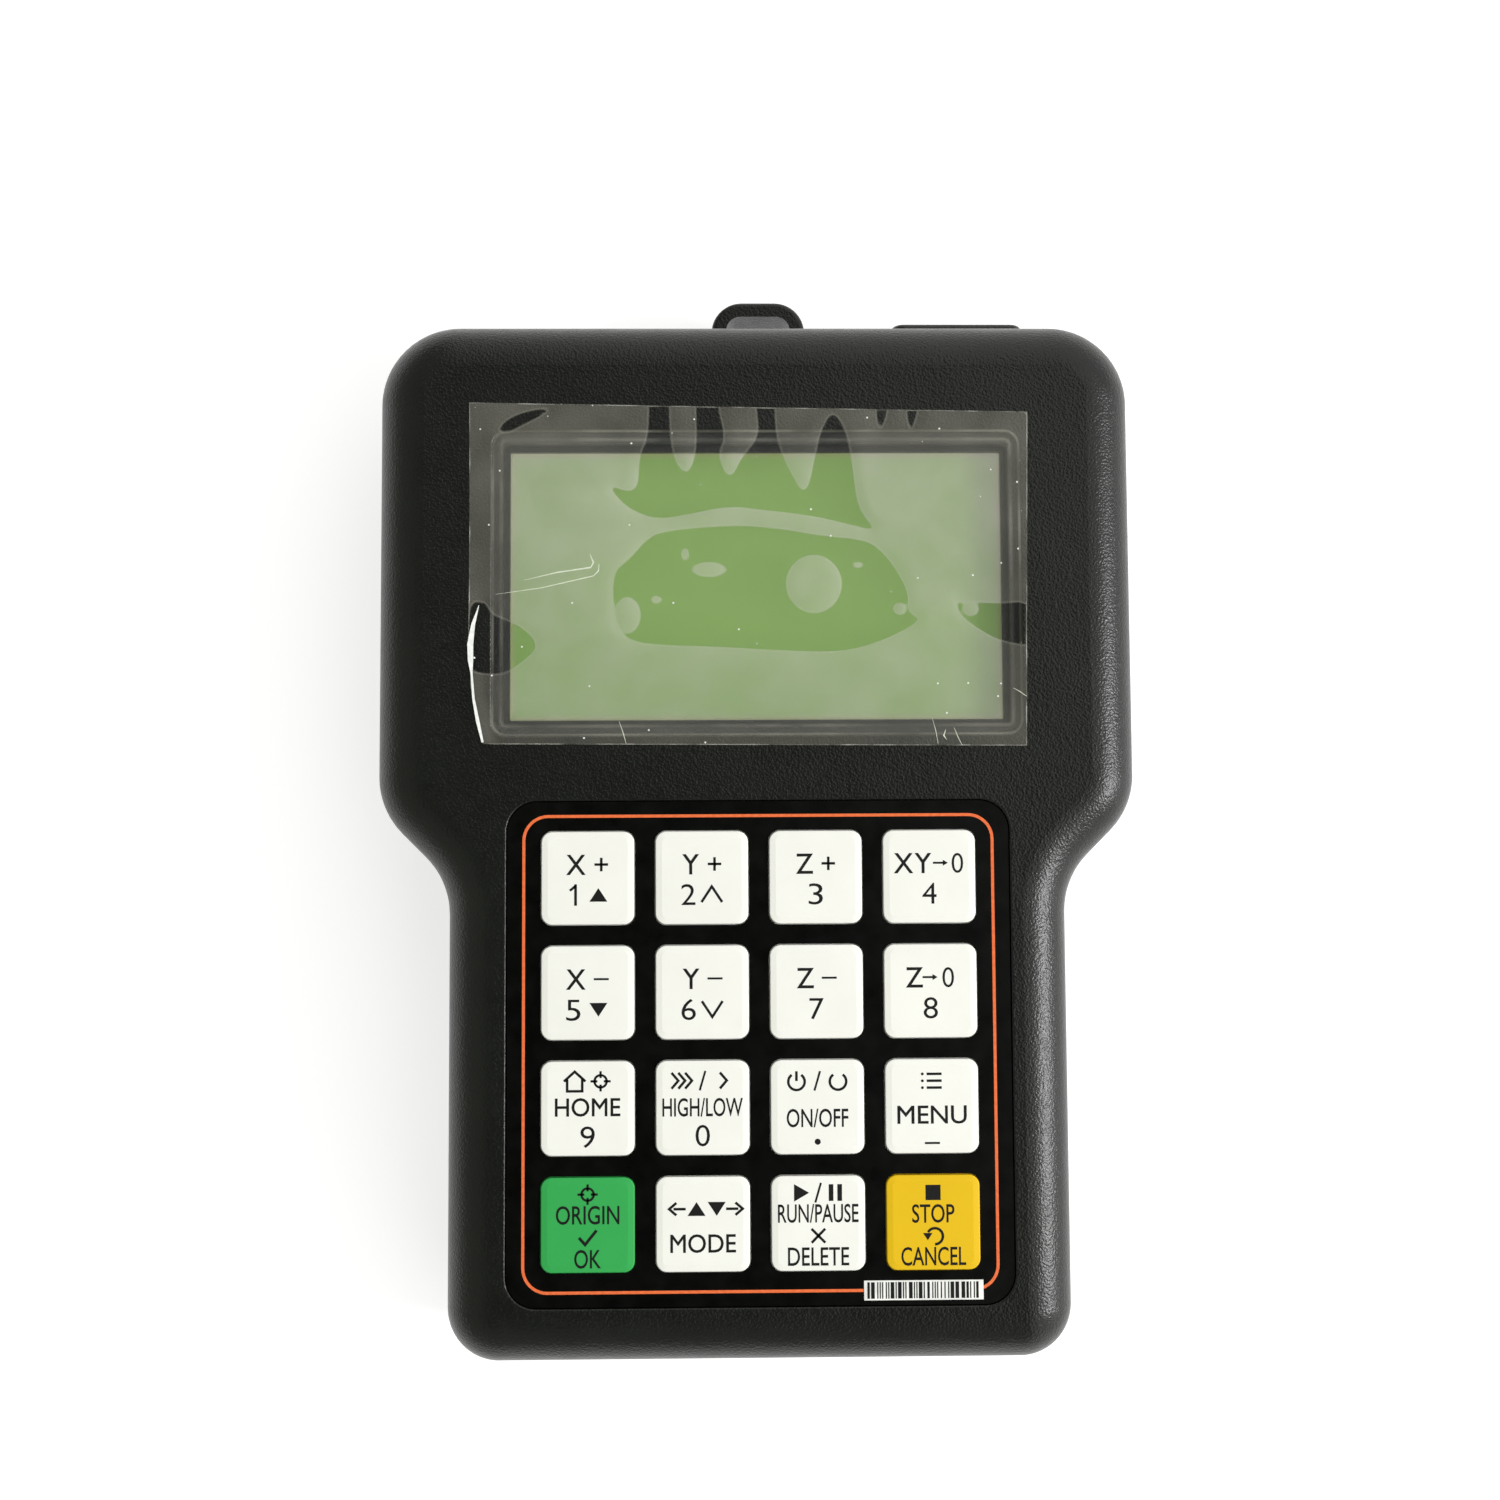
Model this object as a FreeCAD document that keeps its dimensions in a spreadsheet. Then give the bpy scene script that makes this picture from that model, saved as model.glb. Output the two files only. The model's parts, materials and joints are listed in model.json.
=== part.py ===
"""Handheld CNC controller, lying on its back.

Frame: +X to the right of the display, +Y towards the hang loop, +Z out of the display.
The origin is at the middle of the flat rear face. All lengths are in millimetres.
"""

import FreeCAD, Part
import Sketcher
import os
import re
from math import asin, atan2, cos, hypot, pi, sin

KEY_COLUMNS = 4

# Driving dimensions, by piece
CASE_SIZES = [
    ("head_width", 108.7),
    ("body_depth", 32.0),
    ("front_depth", 13.0),
    ("shoulder_overlap", 7.8),
    ("shoulder_radius", 11.6),
    ("shoulder_angle", 45.0),
    ("top_corner_radius", 11.5),
    ("bottom_corner_radius", 7.5),
    ("front_edge_radius", 7.0),
    ("rear_edge_radius", 6.0),
    ("seam_radius", 0.3),
    ("recess_edge_radius", 0.25),
    ("grip_land", 1.85),
    ("foot_land", 1.4),
    ("side_wall", 2.5),
    ("front_wall", 3.2),
    ("rear_wall", 2.5),
    ("lip_thickness", 1.2),
    ("lip_depth", 1.8),
    ("lip_clearance", 0.15),
    ("part_clearance", 0.15),
]
LOOP_SIZES = [
    ("loop_shift", 0.8),
    ("loop_width", 14.2),
    ("loop_reach", 7.8),
    ("loop_ring", 2.25),
    ("loop_root", 0.6),
    ("loop_thickness", 7.0),
    ("loop_height", 6.2),
    ("loop_corner_radius", 4.6),
    ("loop_eye_roundness", 0.44),
    ("loop_edge_radius", 0.7),
]
CASE_SCREW_SIZES = [
    ("upper_screw_drop", 5.6),
    ("screw_land", 0.6),
    ("boss_gap", 0.8),
    ("screw_joint_height", 14.0),
    ("case_boss_diameter", 6.4),
    ("case_column_diameter", 8.4),
    ("case_shank_diameter", 2.6),
    ("case_head_diameter", 5.0),
    ("case_head_height", 2.0),
    ("case_head_depth", 6.0),
    ("case_screw_bite", 9.0),
    ("screw_clearance", 0.1),
    ("head_clearance", 0.3),
]
DISPLAY_SIZES = [
    ("keypad_to_display", 65.9),
    ("lens_width", 75.0),
    ("lens_height", 43.5),
    ("lens_seat_side", 1.3),
    ("lens_seat_end", 1.5),
    ("lens_corner_radius", 2.0),
    ("lens_thickness", 1.3),
    ("lens_inset", 0.15),
    ("adhesive_thickness", 0.15),
    ("film_width", 78.6),
    ("film_height", 48.4),
    ("film_thickness", 0.1),
    ("film_shift", 0.9),
    ("bezel_width", 78.0),
    ("bezel_height", 51.0),
    ("bezel_frame_side", 3.65),
    ("bezel_frame_end", 6.1),
    ("bezel_depth", 8.6),
    ("bezel_sheet", 0.8),
    ("glass_thickness", 2.8),
    ("lcd_board_height", 70.0),
    ("lcd_board_thickness", 1.6),
    ("lcd_side_gap", 5.35),
    ("lcd_top_gap", 0.9),
    ("lcd_hole_edge", 2.5),
    ("lcd_boss_diameter", 5.0),
    ("lcd_shank_diameter", 2.0),
    ("lcd_head_diameter", 4.4),
    ("lcd_head_height", 1.6),
    ("lcd_screw_bite", 6.0),
]
KEYPAD_SIZES = [
    ("overlay_side_margin", 4.8),
    ("overlay_end_margin", 4.5),
    ("overlay_drop", 0.3),
    ("overlay_corner_radius", 4.2),
    ("overlay_thickness", 0.4),
    ("overlay_inset", 0.25),
    ("key_pitch", 16.0),
    ("key_size", 13.0),
    ("key_corner_radius", 1.5),
    ("key_rise", 0.4),
    ("key_bevel_width", 0.9),
    ("key_bevel_drop", 0.1),
    ("key_edge_radius", 0.15),
    ("key_flange", 0.7),
    ("key_flange_thickness", 0.35),
    ("key_travel", 0.5),
    ("key_slack", 0.05),
    ("stem_diameter", 4.0),
    ("stem_clearance", 0.3),
    ("dome_diameter", 8.0),
    ("dome_rise", 0.6),
    ("dome_sheet", 0.12),
    ("dome_gap", 1.0),
    ("keypad_board_margin", 1.5),
    ("keypad_board_thickness", 1.6),
    ("keypad_boss_diameter", 5.0),
    ("keypad_shank_diameter", 1.6),
    ("keypad_head_diameter", 3.4),
    ("keypad_head_height", 1.2),
    ("keypad_screw_bite", 1.8),
    ("sticker_length", 16.6),
    ("sticker_width", 2.7),
    ("sticker_thickness", 0.08),
    ("sticker_shift", 22.6),
    ("sticker_drop", 33.3),
]
BOARD_SIZES = [
    ("main_board_thickness", 1.6),
    ("main_board_gap", 1.5),
    ("main_board_side_gap", 3.85),
    ("main_board_tail", 7.4),
    ("board_corner_radius", 3.0),
    ("board_hole_edge", 4.0),
    ("board_hole_upper", 14.0),
    ("board_post_diameter", 6.0),
    ("board_shank_diameter", 2.0),
    ("board_head_diameter", 4.4),
    ("board_head_height", 1.6),
    ("board_screw_bite", 2.4),
    ("header_pins", 20),
    ("header_pitch", 2.54),
    ("header_width", 2.5),
    ("header_strip_height", 2.5),
    ("header_pin_size", 0.64),
    ("header_pin_tip_gap", 2.5),
    ("header_slot_floor", 1.5),
    ("header_slot_width", 1.0),
    ("header_gap", 2.4),
    ("header_edge", 2.5),
    ("processor_size", 20.0),
    ("processor_height", 1.5),
    ("memory_length", 12.0),
    ("memory_width", 8.0),
    ("memory_height", 1.2),
    ("memory_spacing", 14.0),
    ("memory_shift", 22.0),
    ("crystal_length", 11.0),
    ("crystal_width", 4.6),
    ("crystal_height", 3.6),
    ("crystal_end_flat", 0.2),
    ("crystal_shift", 21.0),
    ("capacitor_diameter", 6.3),
    ("capacitor_height", 7.0),
    ("capacitor_spacing", 9.0),
    ("capacitor_shift", 34.0),
]
RIBBON_SIZES = [
    ("ribbon_shift", 22.0),
    ("ribbon_width", 14.0),
    ("ribbon_thickness", 0.3),
    ("ribbon_bend_radius", 4.0),
    ("ribbon_from_edge", 9.0),
    ("connector_width", 18.0),
    ("keypad_connector_depth", 4.0),
    ("keypad_connector_height", 3.5),
    ("ribbon_connector_depth", 5.0),
    ("ribbon_connector_height", 2.0),
    ("ribbon_connector_edge", 4.0),
]
SOCKET_SIZES = [
    ("usb_shift", 31.1),
    ("usb_height", 6.0),
    ("usb_depth", 14.0),
    ("usb_sheet", 0.35),
    ("usb_back_depth", 4.0),
    ("usb_tongue_width", 11.1),
    ("usb_tongue_gap", 0.7),
    ("usb_tongue_thickness", 1.9),
    ("usb_tongue_reach", 8.8),
    ("usb_tongue_offset", 0.9),
    ("usb_contact_count", 4),
    ("usb_contact_width", 1.1),
    ("usb_contact_pitch", 2.3),
    ("usb_contact_thickness", 0.2),
    ("usb_contact_length", 7.0),
    ("usb_corner_radius", 0.8),
    ("collar_width", 20.0),
    ("collar_height", 9.6),
    ("collar_reach", 3.9),
    ("collar_corner_radius", 2.0),
    ("collar_edge_radius", 0.9),
    ("socket_gap", 1.7),
    ("socket_height", 9.0),
    ("socket_depth", 14.0),
    ("socket_reach", 2.0),
    ("port_margin", 2.4),
    ("socket_sheet", 0.5),
    ("socket_corner_radius", 2.4),
    ("socket_back_depth", 5.0),
    ("socket_tongue_width", 33.0),
    ("socket_tongue_gap", 1.0),
    ("socket_tongue_thickness", 2.6),
    ("socket_tongue_reach", 7.0),
    ("socket_contact_count", 25),
    ("socket_contact_pitch", 1.27),
    ("socket_contact_width", 0.6),
    ("socket_contact_thickness", 0.2),
    ("socket_contact_length", 6.0),
]
# Heights and places that follow from the driving dimensions
DERIVED_SIZES = [
    ("key_span", f"key_size + key_pitch * {KEY_COLUMNS - 1}"),
    ("overlay_width", "key_span + 2 * overlay_side_margin"),
    ("overlay_height", "key_span + 2 * overlay_end_margin"),
    ("keypad_board_size", "key_span + 2 * keypad_board_margin"),
    ("keypad_from_bottom", "overlay_height / 2 + overlay_drop + front_edge_radius + foot_land"),
    ("display_from_top", "side_wall + lcd_top_gap + lcd_board_height / 2"),
    ("body_length", "keypad_from_bottom + keypad_to_display + display_from_top"),
    ("half_length", "body_length / 2"),
    ("head_length", "side_wall + lcd_top_gap + lcd_board_height - shoulder_overlap"),
    ("grip_width", "overlay_width + 2 * (front_edge_radius + grip_land)"),
    ("shoulder_step", "(head_width - grip_width) / 2"),
    (
        "shoulder_drop",
        "(2 * shoulder_radius - (2 * shoulder_radius - shoulder_step) * cos(shoulder_angle * 1deg))"
        " / sin(shoulder_angle * 1deg)",
    ),
    ("lip_inset", "side_wall - lip_thickness"),
    ("ceiling_height", "body_depth - front_wall"),
    ("parting_height", "body_depth - front_depth"),
    ("upper_screw_x", "keypad_board_size / 2 + case_boss_diameter / 2 + boss_gap"),
    ("lower_screw_inset", "rear_edge_radius + case_head_diameter / 2 + head_clearance + screw_land"),
    ("display_y", "half_length - display_from_top"),
    ("window_width", "lens_width - 2 * lens_seat_side"),
    ("window_height", "lens_height - 2 * lens_seat_end"),
    ("view_width", "bezel_width - 2 * bezel_frame_side"),
    ("view_height", "bezel_height - 2 * bezel_frame_end"),
    ("lcd_board_width", "head_width - 2 * side_wall - 2 * lcd_side_gap"),
    ("lens_seat_depth", "lens_inset + lens_thickness + adhesive_thickness"),
    ("lcd_board_top", "ceiling_height - bezel_depth"),
    ("lcd_board_base", "lcd_board_top - lcd_board_thickness"),
    ("keypad_y", "keypad_from_bottom - half_length"),
    ("overlay_y", "keypad_y - overlay_drop"),
    ("overlay_top", "body_depth - overlay_inset"),
    ("overlay_base", "overlay_top - overlay_thickness"),
    ("spacer_thickness", "key_flange_thickness + key_travel + 2 * key_slack"),
    ("keypad_floor", "overlay_base - spacer_thickness"),
    ("keypad_board_top", "ceiling_height - dome_gap"),
    ("keypad_board_base", "keypad_board_top - keypad_board_thickness"),
    ("main_board_top", "parting_height - port_margin - socket_height"),
    ("main_board_base", "main_board_top - main_board_thickness"),
    ("main_board_width", "head_width - 2 * side_wall - 2 * main_board_side_gap"),
    ("main_board_height", "head_length - side_wall - main_board_gap + main_board_tail"),
    ("main_board_edge", "half_length - side_wall - main_board_gap"),
    ("main_board_y", "main_board_edge - main_board_height / 2"),
    ("header_y", "display_y - lcd_board_height / 2 + header_edge"),
    ("header_length", "header_pins * header_pitch"),
    (
        "header_shift",
        "lcd_board_width / 2 - lcd_hole_edge - lcd_head_diameter / 2 - header_gap - header_length / 2",
    ),
    ("header_socket_height", "lcd_board_base - header_strip_height - main_board_top"),
    ("ribbon_y", "keypad_y + keypad_board_size / 2 - ribbon_from_edge"),
    ("ribbon_connector_y", "main_board_edge - main_board_height + ribbon_connector_edge"),
    ("usb_width", "usb_tongue_width + 2 * (usb_sheet + usb_tongue_gap)"),
    ("usb_z", "main_board_top + usb_height / 2"),
    ("socket_width", "socket_tongue_width + 2 * (socket_sheet + socket_tongue_gap)"),
    ("socket_shift", "loop_width / 2 - loop_shift + socket_gap + socket_width / 2"),
    ("socket_z", "main_board_top + socket_height / 2"),
]
NEAR = 1e-4
KEY_NAMES = [
    "key_x_plus", "key_y_plus", "key_z_plus", "key_xy_zero",
    "key_x_minus", "key_y_minus", "key_z_minus", "key_z_zero",
    "key_home", "key_speed", "key_spindle", "key_menu",
    "key_origin", "key_mode", "key_run", "key_stop",
]

doc = FreeCAD.newDocument("HandheldController")
sheet = doc.addObject("Spreadsheet::Sheet", "Sizes")
aliases = set()
nodes = []


def fill_sheet():
    """Writes every size to the sheet, a formula for each derived one."""
    groups = (CASE_SIZES, LOOP_SIZES, CASE_SCREW_SIZES, DISPLAY_SIZES, KEYPAD_SIZES,
              BOARD_SIZES, RIBBON_SIZES, SOCKET_SIZES)
    driving = [(alias, str(value)) for group in groups for alias, value in group]
    derived = [(alias, "=" + formula) for alias, formula in DERIVED_SIZES]
    for row, (alias, content) in enumerate(driving + derived, start=1):
        sheet.set(f"A{row}", alias)
        sheet.set(f"B{row}", content)
        sheet.setAlias(f"B{row}", alias)
        aliases.add(alias)
    doc.recompute()


def bound(expression):
    """The expression with each size name pointed at the sheet."""
    return re.sub(r"[a-z]\w*", lambda word: f"Sizes.{word[0]}" if word[0] in aliases else word[0],
                  str(expression))


def number(expression):
    """The present value of an expression of sizes."""
    return float(sheet.evalExpression(bound(expression)))


# Sketching


def new_body(label):
    body = doc.addObject("PartDesign::Body", label)
    body.Label = label
    nodes.append(body)
    return body


def new_sketch(body, name, offset="0", role="XY_Plane"):
    """A sketch on one of the body's own planes, lifted along that plane's normal."""
    plane = next(feature for feature in body.Origin.OriginFeatures if feature.Role == role)
    sketch = body.newObject("Sketcher::SketchObject", f"{body.Name}_{name}")
    sketch.AttachmentSupport = [(plane, "")]
    sketch.MapMode = "FlatFace"
    sketch.setExpression("AttachmentOffset.Base.z", bound(offset))
    return sketch


def constrain(sketch, ties, dimensions):
    """Adds all ties, and all dimensions as (expression, kind, places), in one go."""
    sized = [Sketcher.Constraint(kind, *places, number(expression))
             for expression, kind, places in dimensions]
    sketch.addConstraint(ties + sized)
    first = sketch.ConstraintCount - len(sized)
    for index, (expression, _, _) in enumerate(dimensions, start=first):
        sketch.setExpression(f"Constraints[{index}]", bound(expression))


def point_at(x, y, geometry, position):
    """Dimensions that hold a point of the drawing at (x, y)."""
    return [(x, "DistanceX", (-1, 1, geometry, position)), (y, "DistanceY", (-1, 1, geometry, position))]


def circle(sketch, x, y, diameter):
    centre = FreeCAD.Vector(number(x), number(y), 0)
    drawn = sketch.addGeometry(Part.Circle(centre, FreeCAD.Vector(0, 0, 1), number(diameter) / 2))
    constrain(sketch, [], [(diameter, "Diameter", (drawn,))] + point_at(x, y, drawn, 3))


def rectangle(sketch, x, y, width, height):
    """A sharp rectangle about its middle."""
    left, right = number(f"{x} - ({width}) / 2"), number(f"{x} + ({width}) / 2")
    low, high = number(f"{y} - ({height}) / 2"), number(f"{y} + ({height}) / 2")
    turns = ((left, low), (right, low), (right, high), (left, high))
    corners = [FreeCAD.Vector(*turn, 0) for turn in turns]
    sides = sketch.addGeometry([Part.LineSegment(corners[i], corners[(i + 1) % 4]) for i in range(4)])
    ties = [Sketcher.Constraint("Coincident", sides[i], 2, sides[(i + 1) % 4], 1) for i in range(4)]
    ties += [Sketcher.Constraint("Vertical" if i % 2 else "Horizontal", sides[i]) for i in range(4)]
    dimensions = point_at(f"{x} - ({width}) / 2", f"{y} - ({height}) / 2", sides[0], 1)
    dimensions.append((width, "DistanceX", (sides[0], 1, sides[0], 2)))
    dimensions.append((height, "DistanceY", (sides[1], 1, sides[1], 2)))
    constrain(sketch, ties, dimensions)


def tangent_loop(sketch, arcs):
    """A closed outline of arcs joined by the straight lines tangent to them.

    Each arc is (centre x, centre y, radius, turn), anticlockwise; turn is 1 where the outline
    bulges and -1 where it is hollow.
    """
    count = len(arcs)
    centres = [FreeCAD.Vector(number(arc[0]), number(arc[1]), 0) for arc in arcs]
    swings = [arc[3] * number(arc[2]) for arc in arcs]
    leaving, arriving = [], []
    for i in range(count):
        j = (i + 1) % count
        apart = centres[j] - centres[i]
        heading = atan2(apart.y, apart.x) - asin((swings[j] - swings[i]) / hypot(apart.x, apart.y))
        left = FreeCAD.Vector(-sin(heading), cos(heading), 0)
        leaving.append(centres[i] - left * swings[i])
        arriving.append(centres[j] - left * swings[j])
    shapes = []
    for i in range(count):
        start, end = arriving[i - 1], leaving[i]
        if arcs[i][3] < 0:
            start, end = end, start
        angles = [atan2(point.y - centres[i].y, point.x - centres[i].x) for point in (start, end)]
        ring = Part.Circle(centres[i], FreeCAD.Vector(0, 0, 1), abs(swings[i]))
        shapes.append(Part.ArcOfCircle(ring, *angles))
        shapes.append(Part.LineSegment(leaving[i], arriving[i]))
    drawn = sketch.addGeometry(shapes)
    ties, dimensions = [], []
    for i, (x, y, radius, turn) in enumerate(arcs):
        arc, line, line_before = drawn[2 * i], drawn[2 * i + 1], drawn[2 * i - 1]
        first, last = (1, 2) if turn > 0 else (2, 1)
        ties.append(Sketcher.Constraint("Tangent", line_before, 2, arc, first))
        ties.append(Sketcher.Constraint("Tangent", arc, last, line, 1))
        dimensions.append((radius, "Radius", (arc,)))
        dimensions += point_at(x, y, arc, 3)
    constrain(sketch, ties, dimensions)


def rounded_rectangle(sketch, x, y, width, height, radius):
    right = f"({width}) / 2 - ({radius})"
    up = f"({height}) / 2 - ({radius})"
    signs = ((1, 1), (-1, 1), (-1, -1), (1, -1))
    tangent_loop(sketch, [(f"{x} + {a} * ({right})", f"{y} + {b} * ({up})", radius, 1) for a, b in signs])


def case_outline(sketch, inset):
    """The body seen from the front: head, shoulders and grip, drawn in by an inset."""
    top_x = "head_width / 2 - top_corner_radius"
    top_y = "half_length - top_corner_radius"
    shoulder_x = "head_width / 2 - shoulder_radius"
    shoulder_y = "half_length - head_length"
    waist_x = "grip_width / 2 + shoulder_radius"
    waist_y = "half_length - head_length - shoulder_drop"
    foot_x = "grip_width / 2 - bottom_corner_radius"
    foot_y = "bottom_corner_radius - half_length"
    right_side = [
        (foot_x, foot_y, f"bottom_corner_radius - ({inset})", 1),
        (waist_x, waist_y, f"shoulder_radius + ({inset})", -1),
        (shoulder_x, shoulder_y, f"shoulder_radius - ({inset})", 1),
        (top_x, top_y, f"top_corner_radius - ({inset})", 1),
    ]
    left_side = [(f"-({x})", y, radius, turn) for x, y, radius, turn in reversed(right_side)]
    tangent_loop(sketch, right_side + left_side)


# Features


def pad(body, sketch, length, backward=False):
    feature = body.newObject("PartDesign::Pad", f"{sketch.Name}_pad")
    feature.Profile = sketch
    feature.setExpression("Length", bound(length))
    feature.Reversed = backward
    doc.recompute()
    return feature


def pocket(body, sketch, depth, forward=False):
    """Cuts against the sketch's normal, or along it where forward is set."""
    before = body.Shape.Volume
    feature = body.newObject("PartDesign::Pocket", f"{sketch.Name}_cut")
    feature.Profile = sketch
    feature.setExpression("Length", bound(depth))
    feature.Reversed = forward
    doc.recompute()
    if body.Shape.Volume >= before:
        raise RuntimeError(f"{feature.Name} cuts nothing")
    return feature


def flat_faces(shape, axis, level):
    """Names of the plane faces across an axis (0, 1 or 2) at a level."""
    names = []
    for i, face in enumerate(shape.Faces, start=1):
        box = face.BoundBox
        low, high = (box.XMin, box.YMin, box.ZMin)[axis], (box.XMax, box.YMax, box.ZMax)[axis]
        if abs(low - level) < NEAR and abs(high - level) < NEAR:
            names.append(f"Face{i}")
    return names


def level_edges(shape, level, beyond):
    """Names of the edges that lie at one height, with their middle further along +Y than beyond."""
    names = []
    for i, edge in enumerate(shape.Edges, start=1):
        box = edge.BoundBox
        if abs(box.ZMin - level) < NEAR and abs(box.ZMax - level) < NEAR and edge.CenterOfMass.y > beyond:
            names.append(f"Edge{i}")
    return names


def opening_edges(shape, level):
    """Names of the edges round the openings in the flat faces at one height."""
    faces = [shape.getElement(name) for name in flat_faces(shape, 2, level)]
    wires = [wire for face in faces for wire in face.Wires if not wire.isSame(face.OuterWire)]
    rims = [edge for wire in wires for edge in wire.Edges]
    return [f"Edge{i}" for i, edge in enumerate(shape.Edges, start=1)
            if any(edge.isSame(rim) for rim in rims)]


def rounding(body, base, names, radius):
    """Rounds the named edges, or all edges of the named faces."""
    feature = body.newObject("PartDesign::Fillet", f"{base.Name}_round")
    feature.Base = (base, names)
    feature.setExpression("Radius", bound(radius))
    doc.recompute()
    if not feature.isValid() or not feature.Shape.isValid():
        raise RuntimeError(f"{feature.Name} can't be rounded")
    return feature


def plate(label, x, y, base, width, height, thickness, radius=None, holes=()):
    """A flat piece, sharp or rounded at the corners, with round holes (x, y, diameter)."""
    body = new_body(label)
    outline = new_sketch(body, "outline", base)
    if radius is None:
        rectangle(outline, x, y, width, height)
    else:
        rounded_rectangle(outline, x, y, width, height, radius)
    for hole in holes:
        circle(outline, *hole)
    pad(body, outline, thickness)
    return body


def key_grid(body, feature):
    """Repeats a cut made at the top left key over the whole keypad."""
    grid = body.newObject("PartDesign::MultiTransform", f"{feature.Name}_grid")
    grid.Originals = [feature]
    steps = []
    for role, backward in (("X_Axis", False), ("Y_Axis", True)):
        axis = next(item for item in body.Origin.OriginFeatures if item.Role == role)
        step = body.newObject("PartDesign::LinearPattern", f"{feature.Name}_{role}")
        step.Direction = (axis, [""])
        step.Reversed = backward
        step.setExpression("Length", bound(f"key_pitch * {KEY_COLUMNS - 1}"))
        step.Occurrences = KEY_COLUMNS
        steps.append(step)
    grid.Transformations = steps
    body.Tip = grid
    doc.recompute()


def group(label, source, places):
    """One node of separate equal solids: copies of a source piece at (x, y, z) places."""
    links = []
    for i, place in enumerate(places):
        link = doc.addObject("App::Link", f"{label}_{i}")
        link.LinkedObject = source
        for axis, expression in zip("xyz", place):
            link.setExpression(f"Placement.Base.{axis}", bound(expression))
        links.append(link)
    compound = doc.addObject("Part::Compound", label)
    compound.Label = label
    compound.Links = links
    nodes.append(compound)
    return compound


def pattern_body(label):
    """A body that is only copied into groups and has no file of its own."""
    return doc.addObject("PartDesign::Body", label)


def mirrored_pairs(*pairs):
    """Places at both sides of the middle plane, from (half spacing, y) pairs."""
    return [(f"{side} * ({x})", y) for x, y in pairs for side in (1, -1)]


def key_places():
    """Centre of each key, by rows from the top left."""
    middle = (KEY_COLUMNS - 1) / 2
    return [
        (f"key_pitch * ({i % KEY_COLUMNS - middle})", f"keypad_y + key_pitch * ({middle - i // KEY_COLUMNS})")
        for i in range(len(KEY_NAMES))
    ]


CASE_SCREW_PLACES = mirrored_pairs(
    ("upper_screw_x", "display_y - lcd_board_height / 2 - upper_screw_drop"),
    ("grip_width / 2 - lower_screw_inset", "lower_screw_inset - half_length"),
)
LCD_SCREW_PLACES = mirrored_pairs(
    ("lcd_board_width / 2 - lcd_hole_edge", "display_y + lcd_board_height / 2 - lcd_hole_edge"),
    ("lcd_board_width / 2 - lcd_hole_edge", "display_y - lcd_board_height / 2 + lcd_hole_edge"),
)
BOARD_SCREW_PLACES = mirrored_pairs(
    ("main_board_width / 2 - board_hole_edge", "main_board_edge - board_hole_upper"),
    ("main_board_width / 2 - board_hole_edge", "main_board_edge - main_board_height + board_hole_edge"),
)
KEYPAD_SCREW_PLACES = mirrored_pairs(
    ("key_pitch", "keypad_y + key_pitch"),
    ("key_pitch", "keypad_y - key_pitch"),
)


# Casing


def circles_at(body, name, height, places, diameter):
    sketch = new_sketch(body, name, height)
    for x, y in places:
        circle(sketch, x, y, diameter)
    return sketch


def front_shell():
    body = new_body("front_shell")
    outline = new_sketch(body, "outline", "parting_height")
    case_outline(outline, "0")
    block = pad(body, outline, "body_depth - parting_height")
    block = rounding(body, block, flat_faces(body.Shape, 2, number("body_depth")), "front_edge_radius")
    rounding(body, block, flat_faces(body.Shape, 2, number("parting_height")), "seam_radius")
    lip = new_sketch(body, "lip", "parting_height")
    case_outline(lip, "lip_inset")
    pad(body, lip, "lip_depth", backward=True)
    hollow = new_sketch(body, "hollow", "parting_height - lip_depth")
    case_outline(hollow, "side_wall")
    cut = pocket(body, hollow, "ceiling_height - parting_height + lip_depth", forward=True)
    rounding(body, cut, flat_faces(body.Shape, 2, number("ceiling_height")), "front_edge_radius - side_wall")

    def bosses(name, places, diameter, base):
        pad(body, circles_at(body, name, base, places, diameter), f"ceiling_height - ({base})")

    bosses("case_boss", CASE_SCREW_PLACES, "case_boss_diameter", "screw_joint_height")
    bosses("lcd_boss", LCD_SCREW_PLACES, "lcd_boss_diameter", "lcd_board_top")
    bosses("keypad_boss", KEYPAD_SCREW_PLACES, "keypad_boss_diameter", "keypad_board_top")

    seat = new_sketch(body, "lens_seat", "body_depth")
    rounded_rectangle(seat, "0", "display_y", "lens_width + 2 * part_clearance",
                      "lens_height + 2 * part_clearance", "lens_corner_radius + part_clearance")
    pocket(body, seat, "lens_seat_depth")
    window = new_sketch(body, "window", "body_depth")
    rectangle(window, "0", "display_y", "window_width", "window_height")
    pocket(body, window, "front_wall")
    recess = new_sketch(body, "keypad_recess", "body_depth")
    rounded_rectangle(recess, "0", "overlay_y", "overlay_width + 2 * part_clearance",
                      "overlay_height + 2 * part_clearance", "overlay_corner_radius + part_clearance")
    cut = pocket(body, recess, "body_depth - keypad_floor")
    rounding(body, cut, opening_edges(body.Shape, number("body_depth")), "recess_edge_radius")
    stems = circles_at(body, "stem_hole", "keypad_floor", key_places(), "stem_diameter + 2 * stem_clearance")
    pocket(body, stems, "keypad_floor - ceiling_height")

    def pilots(name, places, diameter, base, depth):
        drawn = circles_at(body, name, base, places, f"{diameter} + screw_clearance")
        pocket(body, drawn, f"{depth} + screw_clearance", forward=True)

    pilots("case_pilot", CASE_SCREW_PLACES, "case_shank_diameter", "screw_joint_height", "case_screw_bite")
    pilots("lcd_pilot", LCD_SCREW_PLACES, "lcd_shank_diameter", "lcd_board_top", "lcd_screw_bite")
    pilots("keypad_pilot", KEYPAD_SCREW_PLACES, "keypad_shank_diameter", "keypad_board_top",
           "keypad_screw_bite")


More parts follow.
